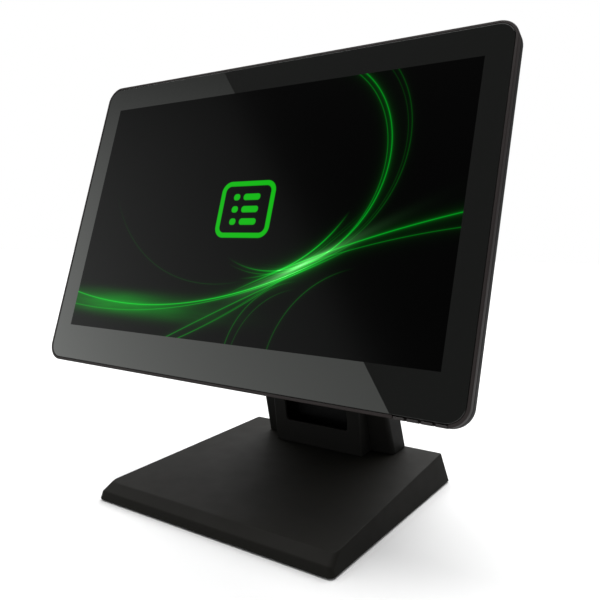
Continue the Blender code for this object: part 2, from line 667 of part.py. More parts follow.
def ear_outline():
    """Side view of the neck bracket's ear, from the strip up to its round end on the hinge axis."""
    low = NECK_TOP_Z - EAR_LOW
    clear = NECK_WALL + 2 * GAP
    inside = BRACKET_THICK / 2
    points = [(bracket_back_y(low) - inside, low), (neck_front_y(low) + clear, low),
              (neck_front_y(NECK_TOP_Z) + clear, NECK_TOP_Z)]
    points += arc((HINGE_Y, HINGE_Z), EAR_RADIUS, -50.0, -330.0, 18)
    high = NECK_TOP_Z + EAR_HIGH
    points.append((bracket_back_y(high) - inside, high))
    return points


def neck_bracket():
    """Bent steel strip from the ballast plate to the hinge, with two ears."""
    foot_low = PLATE_TOP + GAP
    foot_high = foot_low + BRACKET_THICK
    thick = BRACKET_THICK / cos(radians(NECK_LEAN))
    strip = [(bracket_back_y(foot_low), foot_low), (bracket_back_y(foot_low) - BRACKET_FOOT, foot_low),
             (bracket_back_y(foot_low) - BRACKET_FOOT, foot_high),
             (bracket_back_y(foot_high) - thick, foot_high),
             (bracket_back_y(NECK_TOP_Z) - thick, NECK_TOP_Z),
             (bracket_back_y(NECK_TOP_Z), NECK_TOP_Z)]
    side = BRACKET_HALF_WIDTH
    inside = side - EAR_THICK / 2
    bracket = add_part("neck_bracket", outline_mesh("neck_bracket", strip, -inside, inside), steel())
    for low, high in ((-side, -side + EAR_THICK), (side - EAR_THICK, side)):
        add_cutter(outline_mesh("ear", ear_outline(), low, high), bracket, "UNION")
    add_cutter(cylinder_mesh("shaft_hole", SHAFT_RADIUS + BORE_GAP, -side - OVERCUT, side + OVERCUT,
                             "X", (0, HINGE_Y, HINGE_Z)), bracket)
    for x, y in bracket_screw_places():
        add_cutter(cylinder_mesh("thread", STAND_SCREW_RADIUS + BORE_GAP, 0.0, foot_high + OVERCUT, "Z",
                                 (x, y, 0), 12), bracket)
    reach = NECK_SCREW_LENGTH + OVERCUT
    for x in (-NECK_SCREW_X, NECK_SCREW_X):
        add_cutter(cylinder_mesh("thread", STAND_SCREW_RADIUS + BORE_GAP, -reach, reach, "Y",
                                 (x, neck_back_y(NECK_SCREW_Z), NECK_SCREW_Z), 12), bracket)


def neck_screws():
    """Two screws through the back of the rear shell into the bracket."""
    for name, x in (("neck_screw_left", -NECK_SCREW_X), ("neck_screw_right", NECK_SCREW_X)):
        face = neck_back_y(NECK_SCREW_Z) + STAND_SCREW_HEAD * tan(radians(NECK_LEAN)) + GAP
        screw_part(name, STAND_SCREW_HEAD, STAND_SCREW_HEAD_THICK, STAND_SCREW_RADIUS, NECK_SCREW_LENGTH,
                   steel(), None, (x, face + STAND_SCREW_HEAD_THICK, NECK_SCREW_Z), (-pi / 2, 0, 0))


# ---------------------------------------------------------------- hinge

def tilt_frame():
    """The tilted frame of the display head, on the hinge axis."""
    frame = bpy.data.objects.new("tilt_axis", None)
    PARTS.objects.link(frame)
    frame.location = (0, HINGE_Y, HINGE_Z)
    frame.rotation_euler = (-radians(TILT), 0, 0)
    return frame


def hinge_sleeve():
    half = BRACKET_HALF_WIDTH - EAR_THICK - GAP
    profile = tube_profile(SHAFT_RADIUS + BORE_GAP, SLEEVE_RADIUS, -half, half)
    turned_part("hinge_sleeve", profile, black_plastic(), None, (0, HINGE_Y, HINGE_Z), (0, pi / 2, 0), True)


def hinge_shaft(head):
    half = CAP_START + NUT_THICK + SHAFT_PAST_NUT
    made = add_part("hinge_shaft", cylinder_mesh("hinge_shaft", SHAFT_RADIUS, -half, half), steel(), head)
    smooth_round(made.data)


def hinge_small_parts(head):
    """Friction washers, nuts and caps at both ends of the shaft."""
    for name, side in (("left", -1), ("right", 1)):
        turn = (0, side * pi / 2, 0)
        start = BRACKET_HALF_WIDTH + GAP
        turned_part("friction_washer_" + name, tube_profile(SHAFT_RADIUS + BORE_GAP, WASHER_RADIUS, start,
                    start + WASHER_THICK), steel(), head, (0, 0, 0), turn, True)
        low, high = sorted((side * CAP_START, side * (CAP_START + NUT_THICK)))
        nut = add_part("shaft_nut_" + name, cylinder_mesh("nut", NUT_RADIUS, low, high, sides=6), steel(),
                       head)
        add_cutter(cylinder_mesh("nut_bore", SHAFT_RADIUS + BORE_GAP, low - OVERCUT, high + OVERCUT), nut)
        end = CAP_START + CAP_LENGTH
        profile = [(0.0, end), (CAP_RADIUS - CAP_ROUND, end), (CAP_RADIUS, end - CAP_ROUND),
                   (CAP_RADIUS, CAP_START), (CAP_RADIUS - CAP_WALL, CAP_START),
                   (CAP_RADIUS - CAP_WALL, end - CAP_WALL), (0.0, end - CAP_WALL)]
        turned_part("hinge_cap_" + name, profile, black_plastic(), head, (0, 0, 0), turn)


def hinge_plate(head):
    """Steel plate on the back of the head with two ears that carry the shaft."""
    front = GLASS_FACE + BULGE_BACK + GAP
    back = front + HINGE_PLATE_THICK
    plate = add_part("hinge_plate", slab_mesh("hinge_plate", (HINGE_PLATE_WIDTH, HINGE_PLATE_HEIGHT),
                     (front, back), HINGE_PLATE_CORNER, corner_steps=3), steel(), head)
    root = back - HINGE_PLATE_THICK / 2
    ear = [(root, HEAD_EAR_REACH), (root, -HEAD_EAR_REACH)] + arc((0, 0), EAR_RADIUS, -EAR_ARC, EAR_ARC, 14)
    for low, high in ((-EAR_OUT - EAR_THICK, -EAR_OUT), (EAR_OUT, EAR_OUT + EAR_THICK)):
        add_cutter(outline_mesh("head_ear", ear, low, high), plate, "UNION")
    half = HINGE_PLATE_WIDTH / 2 + OVERCUT
    add_cutter(cylinder_mesh("shaft_hole", SHAFT_RADIUS + BORE_GAP, -half, half), plate)
    for x, z in plate_screw_places():
        add_cutter(cylinder_mesh("hole", HEAD_SCREW_RADIUS + BORE_GAP, front - OVERCUT, back + OVERCUT,
                                 "Y", (x, 0, z), 12), plate)


def plate_screw_places():
    half = PLATE_SCREWS / 2
    return [(x, z) for x in (-half, half) for z in (-half, half)]


def plate_screws(head):
    face = GLASS_FACE + BULGE_BACK + GAP + HINGE_PLATE_THICK + GAP + HEAD_SCREW_HEAD_THICK
    for number, (x, z) in enumerate(plate_screw_places()):
        screw_part("plate_screw_%d" % (number + 1), HEAD_SCREW_HEAD, HEAD_SCREW_HEAD_THICK,
                   HEAD_SCREW_RADIUS, PLATE_SCREW_LENGTH, steel(), head, (x, face, z), (-pi / 2, 0, 0))


# ---------------------------------------------------------------- display head

def glass_centre():
    return (0, GLASS_FACE, GLASS_CENTRE_UP)


def front_glass(head):
    mesh = slab_mesh("front_glass", (GLASS_WIDTH, GLASS_HEIGHT), (0, GLASS_THICK), GLASS_CORNER)
    add_part("front_glass", mesh, black_glass(), head, glass_centre())


def glass_tape(head):
    """Adhesive foam ring between the glass and the frame's ledge."""
    start = GLASS_THICK + GAP
    width = GLASS_WIDTH - 2 * TAPE_IN
    height = GLASS_HEIGHT - 2 * TAPE_IN
    mesh = slab_mesh("glass_tape", (width, height), (start, start + TAPE_THICK), GLASS_CORNER - TAPE_IN)
    tape = add_part("glass_tape", mesh, tape_black(), head, glass_centre())
    add_cutter(slab_mesh("tape_inside", (width - 2 * TAPE_WIDTH, height - 2 * TAPE_WIDTH),
                         (0.0, start + TAPE_THICK + OVERCUT), GLASS_CORNER - TAPE_IN - TAPE_WIDTH), tape)


def frame_boss_places():
    """Rear cover screws, from the glass centre."""
    return [(side * (GLASS_WIDTH / 2 - FRAME_BOSS_SIDE), end * (GLASS_HEIGHT / 2 - FRAME_BOSS_IN))
            for side in (-1, 1) for end in (-1, 1)]


def front_frame(head):
    """Black frame round the glass: a thin lip in front, a ledge that the glass is taped to."""
    frame = add_part("front_frame", slab_mesh("front_frame", (FRAME_WIDTH, FRAME_HEIGHT),
                     (0, FRAME_DEPTH), FRAME_CORNER), frame_black(), head, glass_centre())
    pocket = (GLASS_WIDTH + 2 * GAP, GLASS_HEIGHT + 2 * GAP)
    add_cutter(slab_mesh("glass_pocket", pocket, (-OVERCUT, LEDGE_FRONT), GLASS_CORNER + GAP), frame)
    opening = (GLASS_WIDTH - 2 * LEDGE_SIDE, GLASS_HEIGHT - 2 * LEDGE_END)
    add_cutter(slab_mesh("frame_opening", opening, (-OVERCUT, FRAME_DEPTH + OVERCUT),
                         FRAME_OPENING_CORNER, corner_steps=2), frame)
    for x, z in frame_boss_places():
        add_cutter(cylinder_mesh("frame_boss", FRAME_BOSS_RADIUS, (LEDGE_FRONT + FRAME_DEPTH) / 2,
                                 boss_end(), "Y", (x, 0, z), 12), frame, "UNION")
    for x, z in frame_boss_places():
        add_cutter(cylinder_mesh("frame_thread", HEAD_SCREW_RADIUS + BORE_GAP, FRAME_DEPTH - 2 * GAP,
                                 boss_end() + OVERCUT, "Y", (x, 0, z), 12), frame)
    length = KEY_PITCH * (KEY_COUNT - 1) + KEY_LENGTH
    low = (KEY_FIRST_X - KEY_LENGTH / 2 - GAP, -OVERCUT, -FRAME_HEIGHT / 2 - OVERCUT)
    high = (low[0] + length + 2 * GAP, KEY_DEPTH + GAP, -GLASS_HEIGHT / 2 + GAP)
    add_cutter(box_mesh("key_slot", low, high), frame)


def boss_end():
    """Depth where the frame's screw bosses end, just inside the rear cover's thin part."""
    return FRAME_DEPTH + GAP + COVER_RIM_DEPTH - HEAD_WALL - GAP


def lcd_panel(head):
    start = GLASS_THICK + GAP
    mesh = slab_mesh("lcd_panel", (LCD_WIDTH, LCD_HEIGHT), (start, start + LCD_THICK), LCD_CORNER,
                     corner_steps=1)
    centre = (0, GLASS_FACE, GLASS_CENTRE_UP + ACTIVE_UP)
    add_part("lcd_panel", mesh, panel_grey(), head, centre)


def chassis_start():
    return GLASS_THICK + LCD_THICK + 2 * GAP


def board_standoffs():
    half_x = BOARD_WIDTH / 2 - STANDOFF_IN
    half_z = BOARD_HEIGHT / 2 - STANDOFF_IN
    return [(BOARD_X + x, board_centre_z() + z) for x in (-half_x, half_x) for z in (-half_z, half_z)]


def board_centre_z():
    """Centre of the main board on the head's z, above the io plate."""
    return BULGE_BOTTOM + HEAD_WALL + BOARD_OVER_FLOOR + BOARD_HEIGHT / 2


def lcd_chassis(head):
    """Sheet steel tray behind the panel, with stand-offs for the main board."""
    start = chassis_start()
    mesh = slab_mesh("lcd_chassis", (LCD_WIDTH - 2 * CHASSIS_IN, LCD_HEIGHT - 2 * CHASSIS_IN),
                     (start, start + CHASSIS_THICK), CHASSIS_CORNER, corner_steps=2)
    centre = (0, GLASS_FACE, GLASS_CENTRE_UP + ACTIVE_UP)
    chassis = add_part("lcd_chassis", mesh, steel(), head, centre)
    for x, z in board_standoffs():
        add_cutter(cylinder_mesh("standoff", STANDOFF_RADIUS, start + CHASSIS_THICK / 2, BOARD_BACK - GAP,
                                 "Y", (x, 0, z), 12), chassis, "UNION", (0, GLASS_FACE, 0))


def rear_cover(head):
    """Moulded back of the head: a thin rim and a raised box for the electronics."""
    start = FRAME_DEPTH + GAP
    rim_end = start + COVER_RIM_DEPTH
    cover = add_part("rear_cover", slab_mesh("rear_cover", (FRAME_WIDTH, FRAME_HEIGHT), (start, rim_end),
                     FRAME_CORNER, RIM_CHAMFER), black_plastic(), head, glass_centre())
    bulge_centre = (0, GLASS_FACE, BULGE_Z)
    add_cutter(slab_mesh("bulge", (BULGE_WIDTH, BULGE_HEIGHT), (rim_end - HEAD_WALL / 2, BULGE_BACK),
                         BULGE_CORNER, BULGE_CHAMFER, 4), cover, "UNION", bulge_centre)
    rim_inside = (FRAME_WIDTH - 2 * HEAD_WALL, FRAME_HEIGHT - 2 * HEAD_WALL)
    add_cutter(slab_mesh("rim_inside", rim_inside, (-OVERCUT, rim_end - HEAD_WALL),
                         FRAME_CORNER - HEAD_WALL, RIM_CHAMFER), cover)
    bulge_inside = (BULGE_WIDTH - 2 * HEAD_WALL, BULGE_HEIGHT - 2 * HEAD_WALL)
    add_cutter(slab_mesh("bulge_inside", bulge_inside, (0.0, BULGE_BACK - HEAD_WALL),
                         BULGE_CORNER - HEAD_WALL, BULGE_CHAMFER, 4), cover, location=bulge_centre)
    for x, z in plate_screw_places():
        add_cutter(cylinder_mesh("plate_boss", PLATE_BOSS_RADIUS, BULGE_BACK - PLATE_BOSS_LENGTH,
                                 BULGE_BACK - HEAD_WALL / 2, "Y", (x, 0, z), 16), cover, "UNION",
                   (0, GLASS_FACE, 0))
    for x, z in plate_screw_places():
        add_cutter(cylinder_mesh("plate_thread", HEAD_SCREW_RADIUS + BORE_GAP,
                                 BULGE_BACK - PLATE_BOSS_LENGTH - OVERCUT, BULGE_BACK + OVERCUT, "Y",
                                 (x, 0, z), 12), cover, location=(0, GLASS_FACE, 0))
    for x, z in frame_boss_places():
        add_cutter(cylinder_mesh("cover_hole", HEAD_SCREW_RADIUS + BORE_GAP, rim_end - 2 * OVERCUT,
                                 rim_end + OVERCUT, "Y", (x, 0, z), 12), cover)
    add_cutter(vent_mesh(), cover, location=bulge_centre)
    io_low, io_high = io_range()
    add_cutter(box_mesh("io_opening", (-IO_HALF_WIDTH, io_low, BULGE_BOTTOM - OVERCUT),
                        (IO_HALF_WIDTH, io_high, BULGE_BOTTOM + HEAD_WALL + 3 * GAP)), cover,
               location=(0, GLASS_FACE, 0))


def vent_mesh():
    """Upright cooling slots near the top of the raised box, left and right of the middle."""
    high = BULGE_HEIGHT / 2 - VENT_BELOW_TOP
    slots = []
    for side in (-1, 1):
        for number in range(VENTS_EACH_SIDE):
            x = side * (VENT_FIRST_X + number * VENT_PITCH)
            slots.append(((x - VENT_WIDTH / 2, BULGE_BACK - HEAD_WALL - OVERCUT, high - VENT_LENGTH),
                          (x + VENT_WIDTH / 2, BULGE_BACK + OVERCUT, high)))
    return boxes_mesh("vents", slots)


def cover_screws(head):
    """Four screws that hold the rear cover to the frame."""
    face = FRAME_DEPTH + GAP + COVER_RIM_DEPTH + GAP + HEAD_SCREW_HEAD_THICK
    for number, (x, z) in enumerate(frame_boss_places()):
        place = (x, GLASS_FACE + face, GLASS_CENTRE_UP + z)
        screw_part("cover_screw_%d" % (number + 1), HEAD_SCREW_HEAD, HEAD_SCREW_HEAD_THICK,
                   HEAD_SCREW_RADIUS, COVER_SCREW_LENGTH, steel(), head, place, (-pi / 2, 0, 0))


def keys(head):
    """Four push keys in the bottom lip of the frame; the first one is the power key."""
    for number, name in enumerate(("power_key", "menu_key", "minus_key", "plus_key")):
        x = KEY_FIRST_X + number * KEY_PITCH
        low_z = GLASS_CENTRE_UP - FRAME_HEIGHT / 2 - KEY_PROUD
        high_z = GLASS_CENTRE_UP - GLASS_HEIGHT / 2 - KEY_TRAVEL_ROOM
        half = KEY_LENGTH / 2 - GAP
        mesh = box_mesh(name, (-half, KEY_BEHIND_FACE, 0.0), (half, KEY_DEPTH, high_z - low_z))
        add_part(name, mesh, frame_black(), head, (x, GLASS_FACE, low_z))


def key_board(head):
    """Small circuit board with the key switches, behind the frame's ledge."""
    low_z = GLASS_CENTRE_UP - GLASS_HEIGHT / 2 + KEY_BOARD_UP
    start = FRAME_DEPTH + GAP
    middle = KEY_FIRST_X + KEY_PITCH * (KEY_COUNT - 1) / 2 - KEY_BOARD_LEFT
    half = KEY_BOARD_WIDTH / 2
    mesh = box_mesh("key_board", (-half, start, 0.0), (half, start + KEY_BOARD_THICK, KEY_BOARD_HEIGHT))
    add_part("key_board", mesh, circuit_green(), head, (middle, GLASS_FACE, low_z))


# ---------------------------------------------------------------- electronics

def io_range():
    """Depths behind the glass face between which the ports sit."""
    return BOARD_BACK + BOARD_THICK - PORT_HOLE_EDGE - GAP, io_plate_back() - PORT_HOLE_EDGE


def io_plate_back():
    """The io plate ends where the raised box's inner chamfer starts."""
    return BULGE_BACK - HEAD_WALL - BULGE_CHAMFER - GAP


def main_board(head):
    half = BOARD_WIDTH / 2
    low_z = board_centre_z() - BOARD_HEIGHT / 2
    mesh = box_mesh("main_board", (-half, 0.0, 0.0), (half, BOARD_THICK, BOARD_HEIGHT))
    add_part("main_board", mesh, circuit_green(), head, (BOARD_X, GLASS_FACE + BOARD_BACK, low_z))


def heat_sink(head):
    """Aluminium sink over the processor, with upright fins."""
    half_x = SINK_WIDTH / 2
    half_z = SINK_HEIGHT / 2
    mesh = box_mesh("heat_sink", (-half_x, 0.0, -half_z), (half_x, SINK_DEPTH, half_z))
    back = GLASS_FACE + BOARD_BACK + BOARD_THICK + GAP
    sink = add_part("heat_sink", mesh, aluminium(), head, (0, back, 0))
    pitch = (SINK_WIDTH - SINK_FIN) / (SINK_FINS - 1)
    gaps = []
    for number in range(SINK_FINS - 1):
        start = -half_x + SINK_FIN + number * pitch
        gaps.append(((start, SINK_BASE, -half_z - OVERCUT),
                     (start + pitch - SINK_FIN, SINK_DEPTH + OVERCUT, half_z + OVERCUT)))
    add_cutter(boxes_mesh("fin_gaps", gaps), sink)


def box_part(name, size, surface, head, low):
    """A plain component: a box with small chamfers, by its size and low corner."""
    shape = bmesh.new()
    add_box(shape, (0, 0, 0), size)
    bmesh.ops.bevel(shape, geom=list(shape.edges), offset=COMPONENT_EDGE, segments=1,
                    affect="EDGES")
    add_part(name, finish_mesh(name, shape), surface, head, low)


def small_components(head):
    back = GLASS_FACE + BOARD_BACK + BOARD_THICK + GAP
    above_board = board_centre_z() + BOARD_HEIGHT / 2
    box_part("memory_module", MEMORY_SIZE, circuit_green(), head, (-MEMORY_SIZE[0] / 2, back, MEMORY_UP))
    box_part("solid_state_drive", DRIVE_SIZE, steel(), head,
             (-BULGE_WIDTH / 2 + HEAD_WALL + DRIVE_SIDE, back, DRIVE_UP))
    box_part("touch_controller", TOUCH_BOARD_SIZE, circuit_green(), head,
             (-TOUCH_BOARD_SIZE[0] / 2, GLASS_FACE + BOARD_BACK, above_board + TOUCH_BOARD_OVER))
    inset = HEAD_WALL + BULGE_CORNER / 2
    for name, x in (("speaker_left", -BULGE_WIDTH / 2 + inset),
                    ("speaker_right", BULGE_WIDTH / 2 - inset - SPEAKER_SIZE[0])):
        box_part(name, SPEAKER_SIZE, tape_black(), head, (x, back, BULGE_BOTTOM + inset))


def port_block(name, x, size, mouth, starts, surface, head):
    """A connector standing on the io plate, its mouths down; starts are the depths of the mouths' fronts."""
    width, depth = size
    half = mouth[0] / 2
    back = GLASS_FACE + BOARD_BACK + BOARD_THICK + GAP
    low_z = BULGE_BOTTOM + HEAD_WALL + IO_PLATE_THICK + 3 * GAP
    mesh = box_mesh(name, (-width / 2, 0.0, 0.0), (width / 2, depth, PORT_HEIGHT))
    block = add_part(name, mesh, surface, head, (x, back, low_z))
    sockets = [((-half, start, -OVERCUT), (half, start + mouth[1], PORT_MOUTH)) for start in starts]
    add_cutter(boxes_mesh("sockets", sockets), block)


def ports(head):
    port_block("lan_port", LAN_X, LAN_SIZE, LAN_MOUTH, [LAN_RIM], steel(), head)
    for number, x in enumerate(USB_PLACES):
        port_block("usb_port_%d" % (number + 1), x, USB_SIZE, USB_MOUTH, [USB_RIM, USB_RIM + USB_STEP],
                   steel(), head)
    port_block("power_inlet", INLET_X, INLET_SIZE, INLET_MOUTH, [INLET_RIM], tape_black(), head)


def io_plate(head):
    """Steel plate that the ports stand on, inside the bottom wall of the raised box."""
    start = BULGE_BOTTOM + HEAD_WALL + GAP
    half = IO_HALF_WIDTH + IO_PLATE_EDGE
    mesh = box_mesh("io_plate", (-half, io_range()[0] + GAP, start),
                    (half, io_plate_back(), start + IO_PLATE_THICK))
    plate = add_part("io_plate", mesh, steel(), head, (0, GLASS_FACE, 0))
    first = BOARD_BACK + BOARD_THICK + GAP
    holes = []
    for x, size in [(LAN_X, LAN_SIZE), (INLET_X, INLET_SIZE)] + [(x, USB_SIZE) for x in USB_PLACES]:
        half = size[0] / 2 - PORT_HOLE_EDGE
        holes.append(((x - half, first + PORT_HOLE_EDGE, start - OVERCUT),
                      (x + half, first + size[1] - PORT_HOLE_EDGE, start + OVERCUT)))
    add_cutter(boxes_mesh("port_holes", holes), plate, location=(0, GLASS_FACE, 0))


def build():
    base_cover()
    ballast_plate()
    rubber_feet()
    base_screws()
    neck_rear_shell()
    neck_front_cover()
    neck_bracket()
    neck_screws()
    hinge_sleeve()
    head = tilt_frame()
    hinge_shaft(head)
    hinge_small_parts(head)
    hinge_plate(head)
    plate_screws(head)
    front_glass(head)
    glass_tape(head)
    front_frame(head)
    lcd_panel(head)
    lcd_chassis(head)
    rear_cover(head)
    cover_screws(head)
    keys(head)
    key_board(head)
    main_board(head)
    heat_sink(head)
    small_components(head)
    ports(head)
    io_plate(head)


build()
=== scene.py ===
"""Looks of the checkout terminal: the stand first, then the hinge, then the head from the glass back."""

import json
from math import cos, pi, radians, sin, tan

import bmesh
import bpy
from mathutils import Matrix, Vector


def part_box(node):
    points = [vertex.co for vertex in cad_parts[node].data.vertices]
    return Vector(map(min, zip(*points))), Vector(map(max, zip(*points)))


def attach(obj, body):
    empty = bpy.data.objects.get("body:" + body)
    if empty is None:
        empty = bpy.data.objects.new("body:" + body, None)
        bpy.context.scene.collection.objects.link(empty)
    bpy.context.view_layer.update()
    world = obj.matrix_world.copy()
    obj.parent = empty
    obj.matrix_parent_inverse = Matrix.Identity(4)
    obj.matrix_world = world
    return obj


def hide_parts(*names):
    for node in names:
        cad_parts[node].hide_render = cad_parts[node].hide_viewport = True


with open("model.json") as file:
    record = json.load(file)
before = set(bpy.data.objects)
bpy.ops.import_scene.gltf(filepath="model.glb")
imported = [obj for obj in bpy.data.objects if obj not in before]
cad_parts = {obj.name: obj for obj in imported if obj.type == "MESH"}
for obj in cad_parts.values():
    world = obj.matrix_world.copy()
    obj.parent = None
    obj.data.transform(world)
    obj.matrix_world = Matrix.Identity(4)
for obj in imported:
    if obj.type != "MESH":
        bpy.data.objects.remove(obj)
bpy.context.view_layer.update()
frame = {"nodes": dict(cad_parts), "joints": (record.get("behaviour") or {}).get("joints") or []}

# ---------------------------------------------------------------- base cover
# The foot of the terminal: one injection-moulded wedge in fine-textured black plastic, open below.
# Four bosses inside take the screws that come up through the steel plate.

MM = 0.001
TINY = 1e-5                     # less than any real step between two faces
OVERCUT = 10 * MM               # how far a cutting shape runs out of what it cuts


def select_only(piece):
    bpy.ops.object.select_all(action="DESELECT")
    piece.select_set(True)
    bpy.context.view_layer.objects.active = piece


def start_block(name, low, high):
    """A cube primitive stretched between two corners, its size applied."""
    low, high = Vector(low), Vector(high)
    bpy.ops.object.select_all(action="DESELECT")
    bpy.ops.mesh.primitive_cube_add(size=1.0, location=(low + high) / 2, scale=high - low)
    piece = bpy.context.object
    piece.name = name
    bpy.ops.object.transform_apply(location=True, rotation=True, scale=True)
    return piece


def start_round(name, axis, centre, radius, low, high, sides=48):
    """A cylinder primitive along X, Y or Z between two places."""
    turn = {"X": (0, pi / 2, 0), "Y": (pi / 2, 0, 0), "Z": (0, 0, 0)}[axis]
    middle = Vector(centre)
    middle["XYZ".index(axis)] = (low + high) / 2
    bpy.ops.object.select_all(action="DESELECT")
    bpy.ops.mesh.primitive_cylinder_add(vertices=sides, radius=radius, depth=high - low,
                                        location=middle, rotation=turn)
    piece = bpy.context.object
    piece.name = name
    bpy.ops.object.transform_apply(location=True, rotation=True, scale=True)
    return piece


def open_for_edit(piece):
    """Edit mode on one piece with nothing selected; returns its mesh."""
    select_only(piece)
    bpy.ops.object.mode_set(mode="EDIT")
    bpy.ops.mesh.select_mode(type="EDGE")
    bpy.ops.mesh.select_all(action="DESELECT")
    return bmesh.from_edit_mesh(piece.data)


def close_edit():
    bpy.ops.object.mode_set(mode="OBJECT")


def slice_off(piece, place, normal):
    """Cut the piece flat at a plane and drop what the normal points to."""
    open_for_edit(piece)
    bpy.ops.mesh.select_all(action="SELECT")
    bpy.ops.mesh.bisect(plane_co=place, plane_no=normal, use_fill=True, clear_outer=True)
    close_edit()


def round_edges(piece, wanted, radius, steps):
    """Round the edges whose two ends pass the test."""
    shape = open_for_edit(piece)
    for edge in shape.edges:
        edge.select_set(wanted(edge.verts[0].co, edge.verts[1].co))
    bmesh.update_edit_mesh(piece.data)
    bpy.ops.mesh.bevel(offset=radius, segments=steps, profile=0.5, affect="EDGES")
    close_edit()


def soften(piece, width, steps=3, angle=22.0):
    """Break every sharp edge with a small radius."""
    select_only(piece)
    edge = piece.modifiers.new("edge", "BEVEL")
    edge.width = width
    edge.segments = steps
    edge.limit_method = "ANGLE"
    edge.angle_limit = radians(angle)
    bpy.ops.object.modifier_apply(modifier="edge")


def join_or_cut(piece, tool, operation="DIFFERENCE"):
    """Boolean the piece with a tool shape, which is then removed."""
    select_only(piece)
    step = piece.modifiers.new("step", "BOOLEAN")
    step.operation = operation
    step.object = tool
    bpy.ops.object.modifier_apply(modifier="step")
    bpy.data.objects.remove(tool)


def smooth_over(piece, angle=40.0):
    """Smooth shading that keeps flat faces flat."""
    select_only(piece)
    bpy.ops.object.shade_smooth_by_angle(angle=radians(angle))
    even = piece.modifiers.new("even", "WEIGHTED_NORMAL")
    even.keep_sharp = True
    even.weight = 100
    bpy.ops.object.modifier_apply(modifier="even")


def put_on(piece, body, surface, stands_for):
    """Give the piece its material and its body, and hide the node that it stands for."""
    if not piece.data.materials:
        piece.data.materials.append(surface)
    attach(piece, body)
    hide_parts(stands_for)


def node(tree, kind, inputs=None, **settings):
    """Add a shader node; an input may be a value or another node's socket."""
    made = tree.nodes.new("ShaderNode" + kind)
    for name, value in settings.items():
        setattr(made, name, value)
    for key, value in (inputs or {}).items():
        if isinstance(value, bpy.types.NodeSocket):
            tree.links.new(value, made.inputs[key])
        else:
            made.inputs[key].default_value = value
    return made


def start_material(name, **values):
    """A Principled material with its uniform values set, and its tree and shader."""
    made = bpy.data.materials.new(name)
    made.use_nodes = True
    shader = made.node_tree.nodes["Principled BSDF"]
    for key, value in values.items():
        shader.inputs[key.replace("_", " ")].default_value = value
    return made, made.node_tree, shader


def between(tree, value, low, high):
    """Map a 0 to 1 value to a range."""
    return node(tree, "MapRange", {"Value": value, "To Min": low, "To Max": high}).outputs["Result"]


def mixed(tree, share, first, second):
    """Blend two colours."""
    blend = node(tree, "Mix", {0: share}, data_type="RGBA")
    for key, colour in ((6, first), (7, second)):
        if isinstance(colour, bpy.types.NodeSocket):
            tree.links.new(colour, blend.inputs[key])
        else:
            blend.inputs[key].default_value = (*colour, 1.0)
    return blend.outputs[2]


def moulded_plastic(name, colour, rough, grain=1100.0, depth=0.00005, lift=1.35, specular=0.45):
    """Spark-eroded moulding: a fine pebble grain, faint flow mottling and slightly uneven sheen."""
    made, tree, shader = start_material(name, Specular_IOR_Level=specular)
    place = node(tree, "TexCoord").outputs["Object"]
    flow = node(tree, "TexNoise", {"Vector": place, "Scale": 14.0, "Detail": 4.0})
    pebble = node(tree, "TexVoronoi", {"Vector": place, "Scale": grain})
    fine = node(tree, "TexNoise", {"Vector": place, "Scale": grain * 0.6, "Detail": 3.0})
    light = tuple(channel * lift for channel in colour)
    mottled = mixed(tree, flow.outputs["Fac"], colour, light)
    tips = mixed(tree, between(tree, pebble.outputs["Distance"], 0.0, 0.5), mottled, light)
    tree.links.new(tips, shader.inputs["Base Color"])
    patch = node(tree, "TexNoise", {"Vector": place, "Scale": 55.0, "Detail": 5.0})
    tree.links.new(between(tree, patch.outputs["Fac"], rough - 0.07, rough + 0.09),
                   shader.inputs["Roughness"])
    height = node(tree, "Math", {0: pebble.outputs["Distance"], 1: fine.outputs["Fac"]}, operation="ADD")
    bump = node(tree, "Bump", {"Strength": 0.35, "Distance": depth, "Height": height.outputs[0]})
    tree.links.new(bump.outputs["Normal"], shader.inputs["Normal"])
    return made


base_low, base_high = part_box("base_cover")
base_wall = 2.5 * MM
skirt_top = (1.0 * MM, 8.5 * MM)            # in from the front edge, and above the floor
front_crease = (9.6 * MM, 14.3 * MM)
back_crease = (5.2 * MM, 27.3 * MM)
side_draft = radians(14.7)
front_corner = 4.5 * MM
back_corner = 2.0 * MM
least_corner = 0.5 * MM
steep = 0.3                     # rise over run past which an edge is a corner of the wedge
space_below = 6.0 * MM          # how far the space inside runs out under the floor
blank_above = 8.0 * MM          # spare height of the block that is cut down to the wedge
base_edge = 0.9 * MM
boss_radius = 4.5 * MM
boss_from_head = 4.6 * MM       # from the screw's head up to the boss's foot, on the plate
pilot_radius = 1.9 * MM
pilot_beyond = 0.6 * MM
corner_numbers = (1, 2, 3, 4)   # what comes in fours stands at four corners

base_profile = [
    (base_low.y, base_low.z),
    (base_low.y + skirt_top[0], skirt_top[1]),
    (base_low.y + front_crease[0], front_crease[1]),
    (base_high.y - back_crease[0], back_crease[1]),
    (base_high.y, base_low.z),
]
base_slope = (back_crease[1] - front_crease[1]) / (base_profile[3][0] - base_profile[2][0])


def base_top(y):
    """Height of the sloping top at y."""
    return front_crease[1] + (y - base_profile[2][0]) * base_slope


